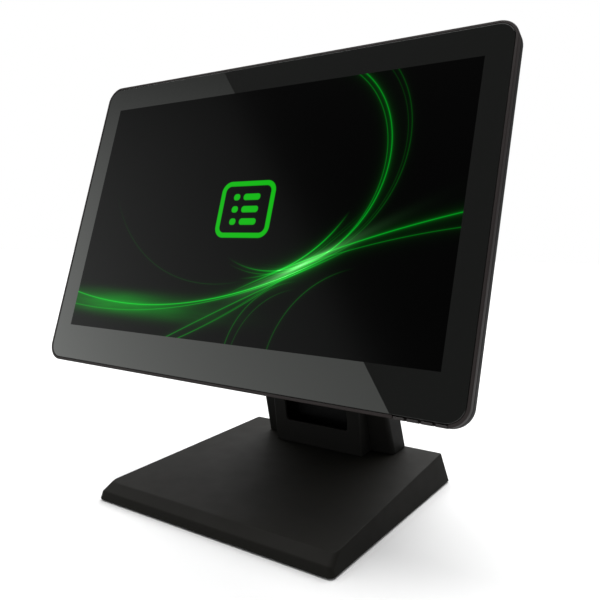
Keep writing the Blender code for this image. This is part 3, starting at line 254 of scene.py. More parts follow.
def base_wedge(name, wall):
    """The wedge, or the space inside it when wall is set."""
    reach = space_below if wall else 0.0
    wedge = start_block(name, base_low + Vector((wall, 0, -reach)),
                        base_high + Vector((-wall, 0, blank_above)))
    for (y0, z0), (y1, z1) in zip(base_profile, base_profile[1:]):
        outward = Vector((0, z0 - z1, y1 - y0)).normalized()
        slice_off(wedge, Vector((0, y0, z0)) - outward * wall, outward)
    for side in (-1, 1):
        outward = Vector((side * cos(side_draft), 0, sin(side_draft)))
        slice_off(wedge, Vector((side * base_high.x, 0, base_low.z)) - outward * wall, outward)
    for end, corner in ((-1, front_corner), (1, back_corner)):
        round_edges(wedge, lambda a, b: a.x * b.x > 0 and abs(a.x) > base_high.x / 2
                    and end * a.y > base_high.y / 2 and end * b.y > base_high.y / 2
                    and abs(a.z - b.z) > steep * abs(a.y - b.y) + TINY, max(corner - wall, least_corner), 8)
    return wedge


base = base_wedge("base_moulding", 0.0)
soften(base, base_edge)
join_or_cut(base, base_wedge("base_space", base_wall))
for number in corner_numbers:
    screw_low, screw_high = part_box(f"base_screw_{number}")
    screw_middle = (screw_low + screw_high) / 2
    join_or_cut(base, start_round("boss", "Z", screw_middle, boss_radius, screw_low.z + boss_from_head,
                                  base_top(screw_middle.y) - base_wall / 2), "UNION")
    join_or_cut(base, start_round("pilot", "Z", screw_middle, pilot_radius, 0.0,
                                  screw_high.z + pilot_beyond, 24))
smooth_over(base)
base_black = moulded_plastic("base_black", (0.0062, 0.0058, 0.0045), 0.62, specular=0.15)
put_on(base, "stand", base_black, "base_cover")

# ---------------------------------------------------------------- ballast plate
# A 4 mm laser-cut steel plate, zinc plated, that closes the base from below. Its weight keeps the
# terminal from tipping.

plate_edge = 0.3 * MM


def sheet_steel(name, colour, rough, streak=(40.0, 900.0, 900.0)):
    """Plated sheet: fine rolling streaks, cloudy plating and a few dull patches."""
    made, tree, shader = start_material(name, Metallic=1.0)
    place = node(tree, "TexCoord").outputs["Object"]
    along = node(tree, "Mapping", {"Vector": place, "Scale": streak})
    lines = node(tree, "TexNoise", {"Vector": along.outputs[0], "Scale": 1.0, "Detail": 3.0})
    cloud = node(tree, "TexNoise", {"Vector": place, "Scale": 35.0, "Detail": 6.0})
    dark = tuple(channel * 0.72 for channel in colour)
    tree.links.new(mixed(tree, cloud.outputs["Fac"], dark, colour), shader.inputs["Base Color"])
    tree.links.new(between(tree, lines.outputs["Fac"], rough - 0.1, rough + 0.12),
                   shader.inputs["Roughness"])
    bump = node(tree, "Bump", {"Strength": 0.2, "Distance": 0.00003, "Height": lines.outputs["Fac"]})
    tree.links.new(bump.outputs["Normal"], shader.inputs["Normal"])
    return made


def dress(surface, *names):
    """Give carried CAD nodes a material."""
    for name in names:
        piece = frame["nodes"][name]
        piece.data.materials.clear()
        piece.data.materials.append(surface)


def merged_copy(name, source):
    """A new piece from a CAD node's mesh, its loose triangles joined into whole faces."""
    piece = bpy.data.objects.new(name, frame["nodes"][source].data.copy())
    bpy.context.scene.collection.objects.link(piece)
    open_for_edit(piece)
    bpy.ops.mesh.select_all(action="SELECT")
    bpy.ops.mesh.remove_doubles(threshold=0.000002)
    bpy.ops.mesh.dissolve_limited(angle_limit=radians(0.5))
    close_edit()
    piece.data.materials.clear()
    return piece


def refined(name, source, edge, surface, body):
    """A merged copy of a CAD node with its sharp edges broken, standing for the node."""
    piece = merged_copy(name, source)
    soften(piece, edge, 2, 30.0)
    smooth_over(piece)
    put_on(piece, body, surface, source)


plated_steel = sheet_steel("plated_steel", (0.50, 0.50, 0.48), 0.38)
refined("steel_floor_plate", "ballast_plate", plate_edge, plated_steel, "stand")

# ---------------------------------------------------------------- rubber feet
# Four round feet in black rubber, turned from sheet and stuck into shallow seats under the plate.
# The terminal stands on them.

foot_edge = 0.3 * MM


def soft_rubber(name, colour):
    """Matt rubber: dusty, slightly pitted."""
    made, tree, shader = start_material(name, Specular_IOR_Level=0.3)
    place = node(tree, "TexCoord").outputs["Object"]
    dust = node(tree, "TexNoise", {"Vector": place, "Scale": 160.0, "Detail": 8.0})
    pits = node(tree, "TexVoronoi", {"Vector": place, "Scale": 900.0})
    grey = tuple(channel * 2.2 for channel in colour)
    tree.links.new(mixed(tree, dust.outputs["Fac"], colour, grey), shader.inputs["Base Color"])
    tree.links.new(between(tree, dust.outputs["Fac"], 0.72, 0.95), shader.inputs["Roughness"])
    bump = node(tree, "Bump", {"Strength": 0.3, "Distance": 0.00006, "Height": pits.outputs["Distance"]})
    tree.links.new(bump.outputs["Normal"], shader.inputs["Normal"])
    return made


rubber_black = soft_rubber("rubber_black", (0.012, 0.012, 0.012))
for number in corner_numbers:
    foot_low, foot_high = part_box(f"rubber_foot_{number}")
    foot_middle = (foot_low + foot_high) / 2
    foot = start_round(f"foot_pad_{number}", "Z", foot_middle, (foot_high.x - foot_low.x) / 2,
                       foot_low.z, foot_high.z, 64)
    soften(foot, foot_edge)
    smooth_over(foot)
    put_on(foot, "stand", rubber_black, f"rubber_foot_{number}")

# ---------------------------------------------------------------- screws
# Pan head screws in blackened steel, each with a cross recess. These eight come up through the plate
# into the base cover and into the bracket's foot.

head_edge = 0.35 * MM
recess_depth = 0.9 * MM
recess_arm = 1.9 * MM            # half the cross, from tip to tip
recess_slim = 0.22               # an arm's width as a share of its length
down = Vector((0, 0, -1))
screw_black = sheet_steel("screw_black", (0.10, 0.10, 0.10), 0.42, (600.0, 600.0, 600.0))


def cross_recess(piece, place, out, size):
    """Sink a cross into a screw head at a place, facing out."""
    turn = Vector((0, 0, 1)).rotation_difference(out).to_matrix().to_4x4()
    for wide, deep in ((size, size * recess_slim), (size * recess_slim, size)):
        arm = start_block("arm", (-wide, -deep, -recess_depth), (wide, deep, 1.0 * MM))
        arm.data.transform(Matrix.Translation(place) @ turn)
        join_or_cut(piece, arm)


def screw(source, body, out, arm_length):
    """The CAD screw with a rounded head and a cross recess."""
    piece = merged_copy(source + "_body", source)
    soften(piece, head_edge, 3, 40.0)
    far = max(vertex.co.dot(out) for vertex in piece.data.vertices)
    face = [vertex.co for vertex in piece.data.vertices if vertex.co.dot(out) > far - TINY]
    middle = sum(face, Vector()) / len(face)
    cross_recess(piece, middle, out, arm_length)
    smooth_over(piece)
    put_on(piece, body, screw_black, source)


for number in corner_numbers:
    screw(f"base_screw_{number}", "stand", down, recess_arm)
    screw(f"bracket_screw_{number}", "stand", down, recess_arm)

# ---------------------------------------------------------------- neck bracket
# A bent steel strip, powder coated black, inside the neck: from the plate up to two ears that hold
# the hinge shaft.

bracket_edge = 0.3 * MM


def powder_coat(name, colour, rough):
    """Powder coat: soft orange-peel over steel."""
    made, tree, shader = start_material(name, Specular_IOR_Level=0.5)
    place = node(tree, "TexCoord").outputs["Object"]
    peel = node(tree, "TexNoise", {"Vector": place, "Scale": 420.0, "Detail": 2.0})
    cloud = node(tree, "TexNoise", {"Vector": place, "Scale": 22.0, "Detail": 5.0})
    light = tuple(channel * 1.4 for channel in colour)
    tree.links.new(mixed(tree, cloud.outputs["Fac"], colour, light), shader.inputs["Base Color"])
    tree.links.new(between(tree, cloud.outputs["Fac"], rough - 0.06, rough + 0.08),
                   shader.inputs["Roughness"])
    bump = node(tree, "Bump", {"Strength": 0.3, "Distance": 0.00008, "Height": peel.outputs["Fac"]})
    tree.links.new(bump.outputs["Normal"], shader.inputs["Normal"])
    return made


coated_steel = powder_coat("coated_steel", (0.008, 0.008, 0.008), 0.5)
refined("bent_bracket", "neck_bracket", bracket_edge, coated_steel, "stand")

# ---------------------------------------------------------------- neck rear shell
# The wide leaning shell of the neck, moulded in the same black plastic; its front edges are rounded.
# Cables leave through a small opening low on its back.

neck_wall = 2.5 * MM
neck_lean = radians(19.8)
neck_ref = 25.0 * MM                         # height at which the neck's sizes are given
neck_half = 70.8 * MM
neck_taper = 0.055
neck_front = 76.2 * MM
neck_thick = 26.0 * MM
neck_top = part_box("neck_rear_shell")[1].z
part_gap = 0.3 * MM
neck_front_edge = 3.8 * MM
neck_edge = 0.6 * MM
tall = 50 * MM                               # an edge with more rise than this runs up the neck
cover_half = 47.3 * MM
front_way_top = 128 * MM
front_way_back = 6 * MM
ear_side_gap = 1 * MM
top_way_depth = 16.5 * MM
exit_low = (45.0 * MM, 46 * MM, 32.0 * MM)   # its left edge, the height that sets its depth, its foot
exit_behind = 12 * MM
exit_size = Vector((17 * MM, 40 * MM, 14 * MM))
exit_corner = 2.5 * MM
screw_hole = 1.9 * MM
neck_screws = ("neck_screw_left", "neck_screw_right")


def neck_front_y(z):
    """Where the shell's front face is at a height."""
    return neck_front - (z - neck_ref) * tan(neck_lean)


def neck_slab(name, wall):
    """The leaning slab of the rear shell, or the space inside it when wall is set."""
    slab = start_block(name, (-100 * MM, -50 * MM, 0.0), (100 * MM, 150 * MM, neck_top - wall))
    lean_out = Vector((0, -cos(neck_lean), -sin(neck_lean)))
    slice_off(slab, (0, neck_front + wall, neck_ref), lean_out)
    slice_off(slab, (0, neck_front + neck_thick - wall, neck_ref), -lean_out)
    if not wall:
        rise = Vector((0, base_slope, -1.0)).normalized()
        slice_off(slab, (0, neck_front, base_top(neck_front) + part_gap), rise)
    for side in (-1, 1):
        outward = Vector((side, 0, neck_taper)).normalized()
        slice_off(slab, (side * (neck_half - wall), 0, neck_ref), outward)
    return slab


neck = neck_slab("neck_back_moulding", 0.0)
middle_y = neck_front + neck_thick / 2 - (neck_top / 2 - neck_ref) * tan(neck_lean)
round_edges(neck, lambda a, b: abs(a.z - b.z) > tall and (a.y + b.y) / 2 < middle_y, neck_front_edge, 8)
soften(neck, neck_edge)
join_or_cut(neck, neck_slab("neck_space", neck_wall))
front_way = start_block("front_way", (-cover_half + neck_wall, -50 * MM, 0.0),
                        (cover_half - neck_wall, 150 * MM, front_way_top))
slice_off(front_way, (0, neck_front + front_way_back, neck_ref),
          Vector((0, cos(neck_lean), sin(neck_lean))))
join_or_cut(neck, front_way)
ear_low, ear_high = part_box("neck_bracket")
top_way_front = neck_front_y(neck_top) + neck_wall + part_gap
join_or_cut(neck, start_block("top_way", (ear_low.x - ear_side_gap, top_way_front, neck_top - 8 * MM),
                              (ear_high.x + ear_side_gap, top_way_front + top_way_depth,
                               neck_top + 5 * MM)))
exit_corner_low = Vector((exit_low[0], neck_front_y(exit_low[1]) + exit_behind, exit_low[2]))
cable_exit = start_block("cable_exit", exit_corner_low, exit_corner_low + exit_size)
round_edges(cable_exit, lambda a, b: abs(a.y - b.y) > exit_size.y / 2, exit_corner, 6)
join_or_cut(neck, cable_exit)
for source in neck_screws:
    screw_low, screw_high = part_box(source)
    screw_middle = (screw_low + screw_high) / 2
    join_or_cut(neck, start_round("hole", "Y", screw_middle, screw_hole, screw_low.y,
                                  screw_high.y + OVERCUT, 24))
smooth_over(neck)
neck_black = moulded_plastic("neck_black", (0.0066, 0.0064, 0.0056), 0.62, specular=0.18)
put_on(neck, "stand", neck_black, "neck_rear_shell")

# ---------------------------------------------------------------- neck front cover
# A narrower cover in the same plastic, clipped to the front of the neck. Cables pass through its
# rounded window, and the bracket shows behind it.

cover_front = 56.6 * MM
cover_lean = radians(10.8)
cover_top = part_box("neck_front_cover")[1].z
window_half = 33.8 * MM
window_low = 47.3 * MM
window_high = 78.0 * MM
window_corner = 3.4 * MM
cover_front_edge = 1.6 * MM
cover_edge = 0.5 * MM


def cover_block(name, wall):
    """The front cover's solid, or the space inside it when wall is set."""
    block = start_block(name, (-cover_half + wall, -50 * MM, 0.0),
                        (cover_half - wall, 150 * MM, cover_top - wall))
    slice_off(block, (0, cover_front + wall, neck_ref), Vector((0, -cos(cover_lean), -sin(cover_lean))))
    back = neck_front + (OVERCUT if wall else -part_gap)
    slice_off(block, (0, back, neck_ref), Vector((0, cos(neck_lean), sin(neck_lean))))
    if not wall:
        rise = Vector((0, base_slope, -1.0)).normalized()
        slice_off(block, (0, neck_front, base_top(neck_front) + part_gap), rise)
    return block


cover = cover_block("neck_front_moulding", 0.0)
round_edges(cover, lambda a, b: abs(a.z - b.z) > tall and max(a.y, b.y) < cover_front + 5 * MM
            and a.y + b.y < neck_front_y(a.z) + neck_front_y(b.z) - 4 * MM, cover_front_edge, 4)
join_or_cut(cover, cover_block("cover_space", neck_wall))
window = start_block("window", (-window_half, 0.0, window_low), (window_half, 66 * MM, window_high))
round_edges(window, lambda a, b: abs(a.y - b.y) > 20 * MM, window_corner, 8)
join_or_cut(cover, window)
soften(cover, cover_edge, 2, 30.0)
smooth_over(cover)
put_on(cover, "stand", neck_black, "neck_front_cover")
for source in neck_screws:
    screw(source, "stand", Vector((0, 1, 0)), recess_arm)

# ---------------------------------------------------------------- tilt hinge
# A plastic sleeve between the bracket's ears, a steel shaft through everything, friction washers and
# nuts outside the ears, and a moulded cap over each nut.

hinge_at = Vector(next(joint for joint in frame["joints"] if joint["name"] == "head_tilt")["pos_m"])
up_screen = Vector(next(joint for joint in frame["joints"] if joint["name"] == "power_key_press")["axis"])
tilt = Vector((0, 1)).angle_signed(Vector((up_screen.y, up_screen.z)))
head_place = Matrix.Translation(hinge_at) @ Matrix.Rotation(-abs(tilt), 4, "X")
to_head = head_place.inverted()
bore_radius = 4.3 * MM
sleeve_edge = 0.6 * MM
cap_radius = 15 * MM
cap_inside = 12.8 * MM
cap_wall = 2.2 * MM
cap_edge = 2.4 * MM
cap_lip = 0.3 * MM
hinge_plate_edge = 0.3 * MM
head_recess_arm = 2.0 * MM
round_sides = 72

sleeve_low, sleeve_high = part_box("hinge_sleeve")
sleeve_radius = (sleeve_high.z - sleeve_low.z) / 2
sleeve = start_round("hinge_barrel", "X", hinge_at, sleeve_radius, sleeve_low.x, sleeve_high.x,
                     round_sides)
soften(sleeve, sleeve_edge)
join_or_cut(sleeve, start_round("bore", "X", hinge_at, bore_radius, -100 * MM, 100 * MM))
smooth_over(sleeve)
put_on(sleeve, "stand", neck_black, "hinge_sleeve")
for side, source in ((-1, "hinge_cap_left"), (1, "hinge_cap_right")):
    cap_low, cap_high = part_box(source)
    cap = start_round(source + "_moulding", "X", hinge_at, cap_radius, cap_low.x, cap_high.x, round_sides)
    outer_x = cap_high.x if side > 0 else cap_low.x
    round_edges(cap, lambda a, b: abs(a.x - outer_x) < TINY and abs(b.x - outer_x) < TINY, cap_edge, 6)
    hollow_low, hollow_high = sorted((outer_x - side * cap_wall, outer_x - side * 30 * MM))
    join_or_cut(cap, start_round("hollow", "X", hinge_at, cap_inside, hollow_low, hollow_high, round_sides))
    soften(cap, cap_lip, 2, 50.0)
    smooth_over(cap)
    put_on(cap, "head", neck_black, source)
hinge_steel = sheet_steel("hinge_steel", (0.42, 0.42, 0.41), 0.3, (900.0, 60.0, 60.0))
dress(hinge_steel, "hinge_shaft", "friction_washer_left", "friction_washer_right", "shaft_nut_left",
      "shaft_nut_right")
refined("hinge_back_plate", "hinge_plate", hinge_plate_edge, coated_steel, "head")
back_out = head_place.to_3x3() @ Vector((0, 1, 0))
for number in corner_numbers:
    screw(f"plate_screw_{number}", "head", back_out, head_recess_arm)

# ---------------------------------------------------------------- front glass
# One flat sheet of 3 mm glass over the whole front, printed black behind its border. The panel's
# picture shows through the clear part, which is etched against glare: light trails on black and a
# plain list sign.

glass_corner = 12 * MM
glass_edge = 0.45 * MM
picture_half = Vector((172.08 * MM, 103.1 * MM))


def head_box(name):
    """Lowest and highest corner of a CAD node in the head's own frame: across, back, up the screen."""
    spots = [to_head @ vertex.co for vertex in frame["nodes"][name].data.vertices]
    low = Vector(min(spot[number] for spot in spots) for number in range(3))
    high = Vector(max(spot[number] for spot in spots) for number in range(3))
    return low, high


def runs_back(a, b):
    """An edge that runs front to back."""
    return abs(a.y - b.y) > 1.5 * MM and abs(a.x - b.x) < TINY and abs(a.z - b.z) < TINY


def into_place(piece):
    """Lean a piece that was built upright in the head's frame."""
    piece.data.transform(head_place)
    piece.data.update()


glass_low, glass_high = head_box("front_glass")
panel_low, panel_high = head_box("lcd_panel")
picture_up = (panel_low.z + panel_high.z) / 2
glass = start_block("touch_glass", glass_low, glass_high)
round_edges(glass, runs_back, glass_corner, 18)
soften(glass, glass_edge)
open_for_edit(glass)
for border, outward in (((-picture_half.x, 0, 0), (1, 0, 0)), ((picture_half.x, 0, 0), (1, 0, 0)),
                        ((0, 0, picture_up - picture_half.y), (0, 0, 1)),
                        ((0, 0, picture_up + picture_half.y), (0, 0, 1))):
    bpy.ops.mesh.select_all(action="SELECT")
    bpy.ops.mesh.bisect(plane_co=border, plane_no=outward)
close_edit()
smooth_over(glass)

printed_glass, tree, shader = start_material("printed_glass", Specular_IOR_Level=0.62)
shader.inputs["Specular Tint"].default_value = (0.985, 1.0, 0.97, 1.0)
place = node(tree, "TexCoord").outputs["Object"]
film = node(tree, "TexNoise", {"Vector": place, "Scale": 6.0, "Detail": 3.0})
stroke = node(tree, "Mapping", {"Vector": place, "Scale": (8, 60, 60), "Rotation": (0.0, 0.4, 0.0)})
wiped = node(tree, "TexNoise", {"Vector": stroke.outputs[0], "Scale": 1.0, "Detail": 5.0})
tree.links.new(mixed(tree, film.outputs["Fac"], (0.0024, 0.0027, 0.0024), (0.0034, 0.0038, 0.0034)),
               shader.inputs["Base Color"])
tree.links.new(between(tree, wiped.outputs["Fac"], 0.004, 0.014), shader.inputs["Roughness"])


def maths(tree, operation, *values):
    """One Math node over up to three values."""
    return node(tree, "Math", dict(enumerate(values)), operation=operation).outputs[0]


lit_picture, tree, shader = start_material("lit_picture", Specular_IOR_Level=0.10, Base_Color=(0, 0, 0, 1))
picture_centre = head_place @ Vector((0, glass_low.y, picture_up))
place = node(tree, "TexCoord").outputs["Object"]
on_picture = node(tree, "Mapping", {"Vector": place, "Location": picture_centre, "Scale": (MM, MM, MM),
                                    "Rotation": (-abs(tilt), 0, 0)}, vector_type="TEXTURE").outputs[0]
parts = node(tree, "SeparateXYZ", {"Vector": on_picture})
across, up = parts.outputs["X"], parts.outputs["Z"]     # millimetres from the picture's middle
flat_place = node(tree, "CombineXYZ", {"X": across, "Y": up}).outputs[0]


def ramp(value, low, high):
    """Smooth rise from 0 at low to 1 at high."""
    return node(tree, "MapRange", {"Value": value, "From Min": low, "From Max": high},
                interpolation_type="SMOOTHSTEP").outputs["Result"]


def reach_from(spot):
    """Distance on the picture from a spot."""
    return node(tree, "VectorMath", {0: flat_place, 1: (*spot, 0)}, operation="DISTANCE").outputs["Value"]


def shape_at(spot, turn, size):
    """Distance from a spot in an ellipse's own measure: 1 on the ellipse."""
    local = node(tree, "Mapping", {"Vector": flat_place, "Location": (*spot, 0), "Scale": (*size, 1.0),
                                   "Rotation": (0, 0, radians(turn))}, vector_type="TEXTURE").outputs[0]
    return node(tree, "VectorMath", {0: local}, operation="LENGTH").outputs["Value"]


hot_spot = (60.0, -41.0)
glow_reach = 52.0
nearness = maths(tree, "DIVIDE", glow_reach, maths(tree, "ADD", glow_reach, reach_from(hot_spot)))


def trail(centre, radius, core, haze, strength, window):
    """A light trail along a circle: a bright core, a soft haze, both faded out by a window."""
    off = maths(tree, "ABSOLUTE", maths(tree, "SUBTRACT", reach_from(centre), radius))
    line = maths(tree, "POWER", maths(tree, "DIVIDE", core, maths(tree, "ADD", off, core)), 2.5)
    soft = maths(tree, "EXPONENT", maths(tree, "DIVIDE", off, -haze))
    both = maths(tree, "MULTIPLY_ADD", soft, 0.024, line)
    return maths(tree, "MULTIPLY", maths(tree, "MULTIPLY", both, strength), window)


to_right = ramp(across, -10.0, 55.0)
to_left = ramp(across, 110.0, 40.0)
inner_side = ramp(across, 20.0, 70.0)
low_side = ramp(across, 62.0, 30.0)
low_left = maths(tree, "MULTIPLY", ramp(across, 20.0, -30.0), ramp(up, 25.0, -25.0))
low_right = maths(tree, "MULTIPLY", ramp(across, 5.0, 60.0), ramp(up, 0.0, -30.0))
trails = [
    trail((31.3, 38.9), 85.0, 0.55, 3.0, 0.75, to_right),
    trail((28.3, 36.6), 85.2, 0.35, 2.0, 0.40, to_right),
    trail((36.1, 49.1), 93.1, 0.40, 2.0, 0.15, inner_side),
    trail((37.6, 47.3), 89.2, 0.30, 2.0, 0.08, inner_side),
    trail((363.6, -806.2), 825.7, 0.60, 3.0, 0.80, to_right),
    trail((256.5, -584.5), 577.8, 0.35, 3.0, 0.35, to_right),
    trail((-100.9, 309.8), 389.2, 0.55, 3.0, 1.35, to_left),
    trail((-130.3, 395.1), 480.6, 0.45, 3.0, 0.62, to_left),
    trail((1237.4, -2534.4), 2752.9, 0.45, 2.5, 0.50, to_left),
    trail((-258.7, 366.4), 517.3, 0.35, 2.5, 0.36, to_left),
    trail((-270.0, 373.0), 528.0, 0.25, 2.0, 0.24, to_left),
    trail((65.7, -113.5), 61.0, 0.30, 1.5, 0.26, low_side),
    trail((69.0, -116.0), 58.5, 0.25, 1.5, 0.14, low_side),
    trail((-22.0, 84.8), 143.3, 0.30, 2.0, 0.09, low_left),
    trail((3.0, 49.4), 102.3, 0.50, 2.0, 0.85, low_right),
    trail((118.9, -116.1), 76.0, 0.30, 1.5, 0.16, ramp(across, 105.0, 70.0)),
]
glow = trails[0]
for one in trails[1:]:
    glow = maths(tree, "ADD", glow, one)
glow = maths(tree, "MULTIPLY", glow, maths(tree, "MULTIPLY_ADD", nearness, 1.25, 0.38))
flare = maths(tree, "EXPONENT", maths(tree, "MULTIPLY", shape_at(hot_spot, 27, (15.0, 1.15)), -1.0))
mist_reach = shape_at((-115.0, -80.0), -1, (62.0, 7.0))
mist = maths(tree, "EXPONENT", maths(tree, "MULTIPLY", maths(tree, "POWER", mist_reach, 2.0), -0.8))
drawn_out = node(tree, "Mapping", {"Vector": flat_place, "Scale": (0.012, 0.12, 1.0)}).outputs[0]
wisps = node(tree, "TexNoise", {"Vector": drawn_out, "Scale": 1.0, "Detail": 5.0}).outputs["Fac"]
glow = maths(tree, "ADD", glow, maths(tree, "MULTIPLY", maths(tree, "MULTIPLY", mist, wisps), 0.55))


def rounded_bar(x, z, half_width, half_height, corner):
    """Distance outside a rounded bar on the picture."""
    apart = node(tree, "VectorMath", {0: flat_place, 1: (x, z, 0)}, operation="SUBTRACT").outputs[0]
    apart = node(tree, "VectorMath", {0: apart}, operation="ABSOLUTE").outputs[0]
    apart = node(tree, "VectorMath", {0: apart, 1: (half_width - corner, half_height - corner, 0)},
                 operation="SUBTRACT").outputs[0]
    apart = node(tree, "VectorMath", {0: apart, 1: (0, 0, 0)}, operation="MAXIMUM").outputs[0]
    length = node(tree, "VectorMath", {0: apart}, operation="LENGTH").outputs["Value"]
    return maths(tree, "SUBTRACT", length, corner)


sign = maths(tree, "SUBTRACT", maths(tree, "ABSOLUTE", rounded_bar(0.0, 2.0, 24.0, 21.0, 7.0)), 2.0)
for z in (12.0, 2.0, -8.0):
    for x, half_width in ((-10.0, 3.0), (4.5, 8.0)):
        sign = maths(tree, "MINIMUM", sign, rounded_bar(x, z, half_width, 2.6, 2.4))
sign_mask = ramp(sign, 0.35, -0.35)
green = mixed(tree, ramp(glow, 0.9, 3.2), (0.0, 0.66, 0.028), (0.45, 1.0, 0.48))
trail_light = node(tree, "VectorMath", {0: green, "Scale": glow}, operation="SCALE").outputs[0]
flare_light = node(tree, "VectorMath", {0: (0.30, 1.10, 0.32), "Scale": flare}, operation="SCALE").outputs[0]
picture = node(tree, "VectorMath", {0: trail_light, 1: flare_light}, operation="ADD").outputs[0]
picture = mixed(tree, sign_mask, picture, (0.003, 0.47, 0.004))
tree.links.new(picture, shader.inputs["Emission Color"])
shader.inputs["Emission Strength"].default_value = 1.0
film = node(tree, "TexNoise", {"Vector": flat_place, "Scale": 0.02, "Detail": 3.0})
tree.links.new(between(tree, film.outputs["Fac"], 0.17, 0.20), shader.inputs["Roughness"])

glass.data.materials.append(printed_glass)
glass.data.materials.append(lit_picture)
for face in glass.data.polygons:
    middle = face.center
    on_front = middle.y < glass_low.y + TINY
    inside = abs(middle.x) < picture_half.x and abs(middle.z - picture_up) < picture_half.y
    face.material_index = 1 if on_front and inside else 0
into_place(glass)
put_on(glass, "head", printed_glass, "front_glass")

# ---------------------------------------------------------------- glass tape
# Black foam tape, die cut, on the frame's ledge behind the glass's printed border. It bonds the glass
# to the frame and keeps dust out.

foam_black = soft_rubber("foam_black", (0.009, 0.009, 0.009))
dress(foam_black, "glass_tape")

# ---------------------------------------------------------------- front frame
# A shallow moulded frame in satin black round the glass: a thin lip in front and a ledge behind the
# glass. A slot in its bottom lip holds the keys.

frame_low, frame_high = head_box("front_frame")
lip = 2.4 * MM
frame_depth = 6.0 * MM
frame_front_edge = 0.8 * MM
frame_edge = 0.25 * MM
ledge_under_glass = 1.2 * MM
ledge_side = 9 * MM
ledge_top = 13 * MM
opening_corner = 4 * MM
frame_corner = glass_corner + lip
frame_front = glass_low.y
frame_back = frame_front + frame_depth
rim = start_block("front_frame_moulding", (frame_low.x, frame_front, glass_low.z - lip),
                  (frame_high.x, frame_back, glass_high.z + lip))
round_edges(rim, runs_back, frame_corner, 20)
soften(rim, frame_front_edge, 4)
pocket = start_block("pocket", glass_low + Vector((-part_gap, -OVERCUT, -part_gap)),
                     glass_high + Vector((part_gap, ledge_under_glass, part_gap)))
round_edges(pocket, runs_back, glass_corner + part_gap, 20)
join_or_cut(rim, pocket)
opening = start_block("opening", glass_low + Vector((ledge_side, -OVERCUT, ledge_top)),
                      glass_high + Vector((-ledge_side, 2 * OVERCUT, -ledge_top)))
round_edges(opening, runs_back, opening_corner, 6)
join_or_cut(rim, opening)
key_names = ("power_key", "menu_key", "minus_key", "plus_key")
first_key = head_box(key_names[0])[0]
last_key = head_box(key_names[-1])[1]
join_or_cut(rim, start_block("key_slot",
                             (first_key.x - part_gap, frame_front - OVERCUT, frame_low.z - OVERCUT),
                             (last_key.x + part_gap, last_key.y + part_gap, glass_low.z + part_gap)))
soften(rim, frame_edge, 2, 35.0)
smooth_over(rim)
into_place(rim)
frame_black = moulded_plastic("frame_black", (0.0150, 0.0105, 0.0100), 0.50, 1600.0, 0.00002, 1.25, 0.32)
put_on(rim, "head", frame_black, "front_frame")

# ---------------------------------------------------------------- keys
# Four separate push keys in the bottom lip, in the frame's satin plastic, a little glossier. Each
# stands on its own switch on the key board.

key_edge = 0.55 * MM
key_black = moulded_plastic("key_black", (0.0180, 0.0145, 0.0140), 0.38, 1700.0, 0.00002, 1.3, 0.5)
for source in key_names:
    key_low, key_high = head_box(source)
    key = start_block(source + "_cap", key_low, key_high)
    soften(key, key_edge, 4)
    smooth_over(key)
    into_place(key)
    put_on(key, source, key_black, source)

# ---------------------------------------------------------------- panel and its tray
# The display module, lit from its edge, and the sheet steel tray behind it, whose stand-offs carry
# the main board.


def silk_panel(name, colour):
    """The panel's back and edges: white reflector film under a thin steel bezel."""
    made, tree, shader = start_material(name, Metallic=0.2)
    place = node(tree, "TexCoord").outputs["Object"]
    weave = node(tree, "TexNoise", {"Vector": place, "Scale": 300.0, "Detail": 3.0})
    light = tuple(channel * 1.15 for channel in colour)
    tree.links.new(mixed(tree, weave.outputs["Fac"], colour, light), shader.inputs["Base Color"])
    tree.links.new(between(tree, weave.outputs["Fac"], 0.35, 0.5), shader.inputs["Roughness"])
    return made


dress(silk_panel("panel_film", (0.30, 0.31, 0.32)), "lcd_panel")
dress(plated_steel, "lcd_chassis")

# ---------------------------------------------------------------- circuit boards
# The main board, key board, memory module and touch controller: green solder mask over copper
# tracks, with tinned pads and no printing.


def solder_mask(name):
    """Circuit board: tracks as raised lines in the mask, with tinned pads."""
    made, tree, shader = start_material(name, Specular_IOR_Level=0.5)
    place = node(tree, "TexCoord").outputs["Object"]
    flat = node(tree, "Mapping", {"Vector": place, "Rotation": (pi / 2, 0, 0)}).outputs[0]
    grid = node(tree, "TexBrick", {"Vector": flat, "Scale": 180.0, "Mortar Size": 0.035,
                                   "Color1": (0.005, 0.05, 0.02, 1), "Color2": (0.008, 0.08, 0.032, 1),
                                   "Mortar": (0.012, 0.13, 0.05, 1)})
    pads = node(tree, "TexVoronoi", {"Vector": place, "Scale": 260.0})
    dots = node(tree, "MapRange", {"Value": pads.outputs["Distance"], "From Min": 0.22,
                                   "From Max": 0.18}).outputs["Result"]
    tree.links.new(mixed(tree, dots, grid.outputs["Color"], (0.55, 0.54, 0.5)), shader.inputs["Base Color"])
    tree.links.new(between(tree, dots, 0.42, 0.28), shader.inputs["Roughness"])
    bump = node(tree, "Bump", {"Strength": 0.3, "Distance": 0.00006, "Height": grid.outputs["Fac"]})
    tree.links.new(bump.outputs["Normal"], shader.inputs["Normal"])
    return made


dress(solder_mask("solder_mask"), "main_board", "key_board", "memory_module", "touch_controller")

# ---------------------------------------------------------------- heat sink, drive, speakers, ports
# What is fixed to the boards and the cover: an extruded aluminium sink, a drive and sockets in bright
# drawn steel, speakers and a power inlet in black nylon.

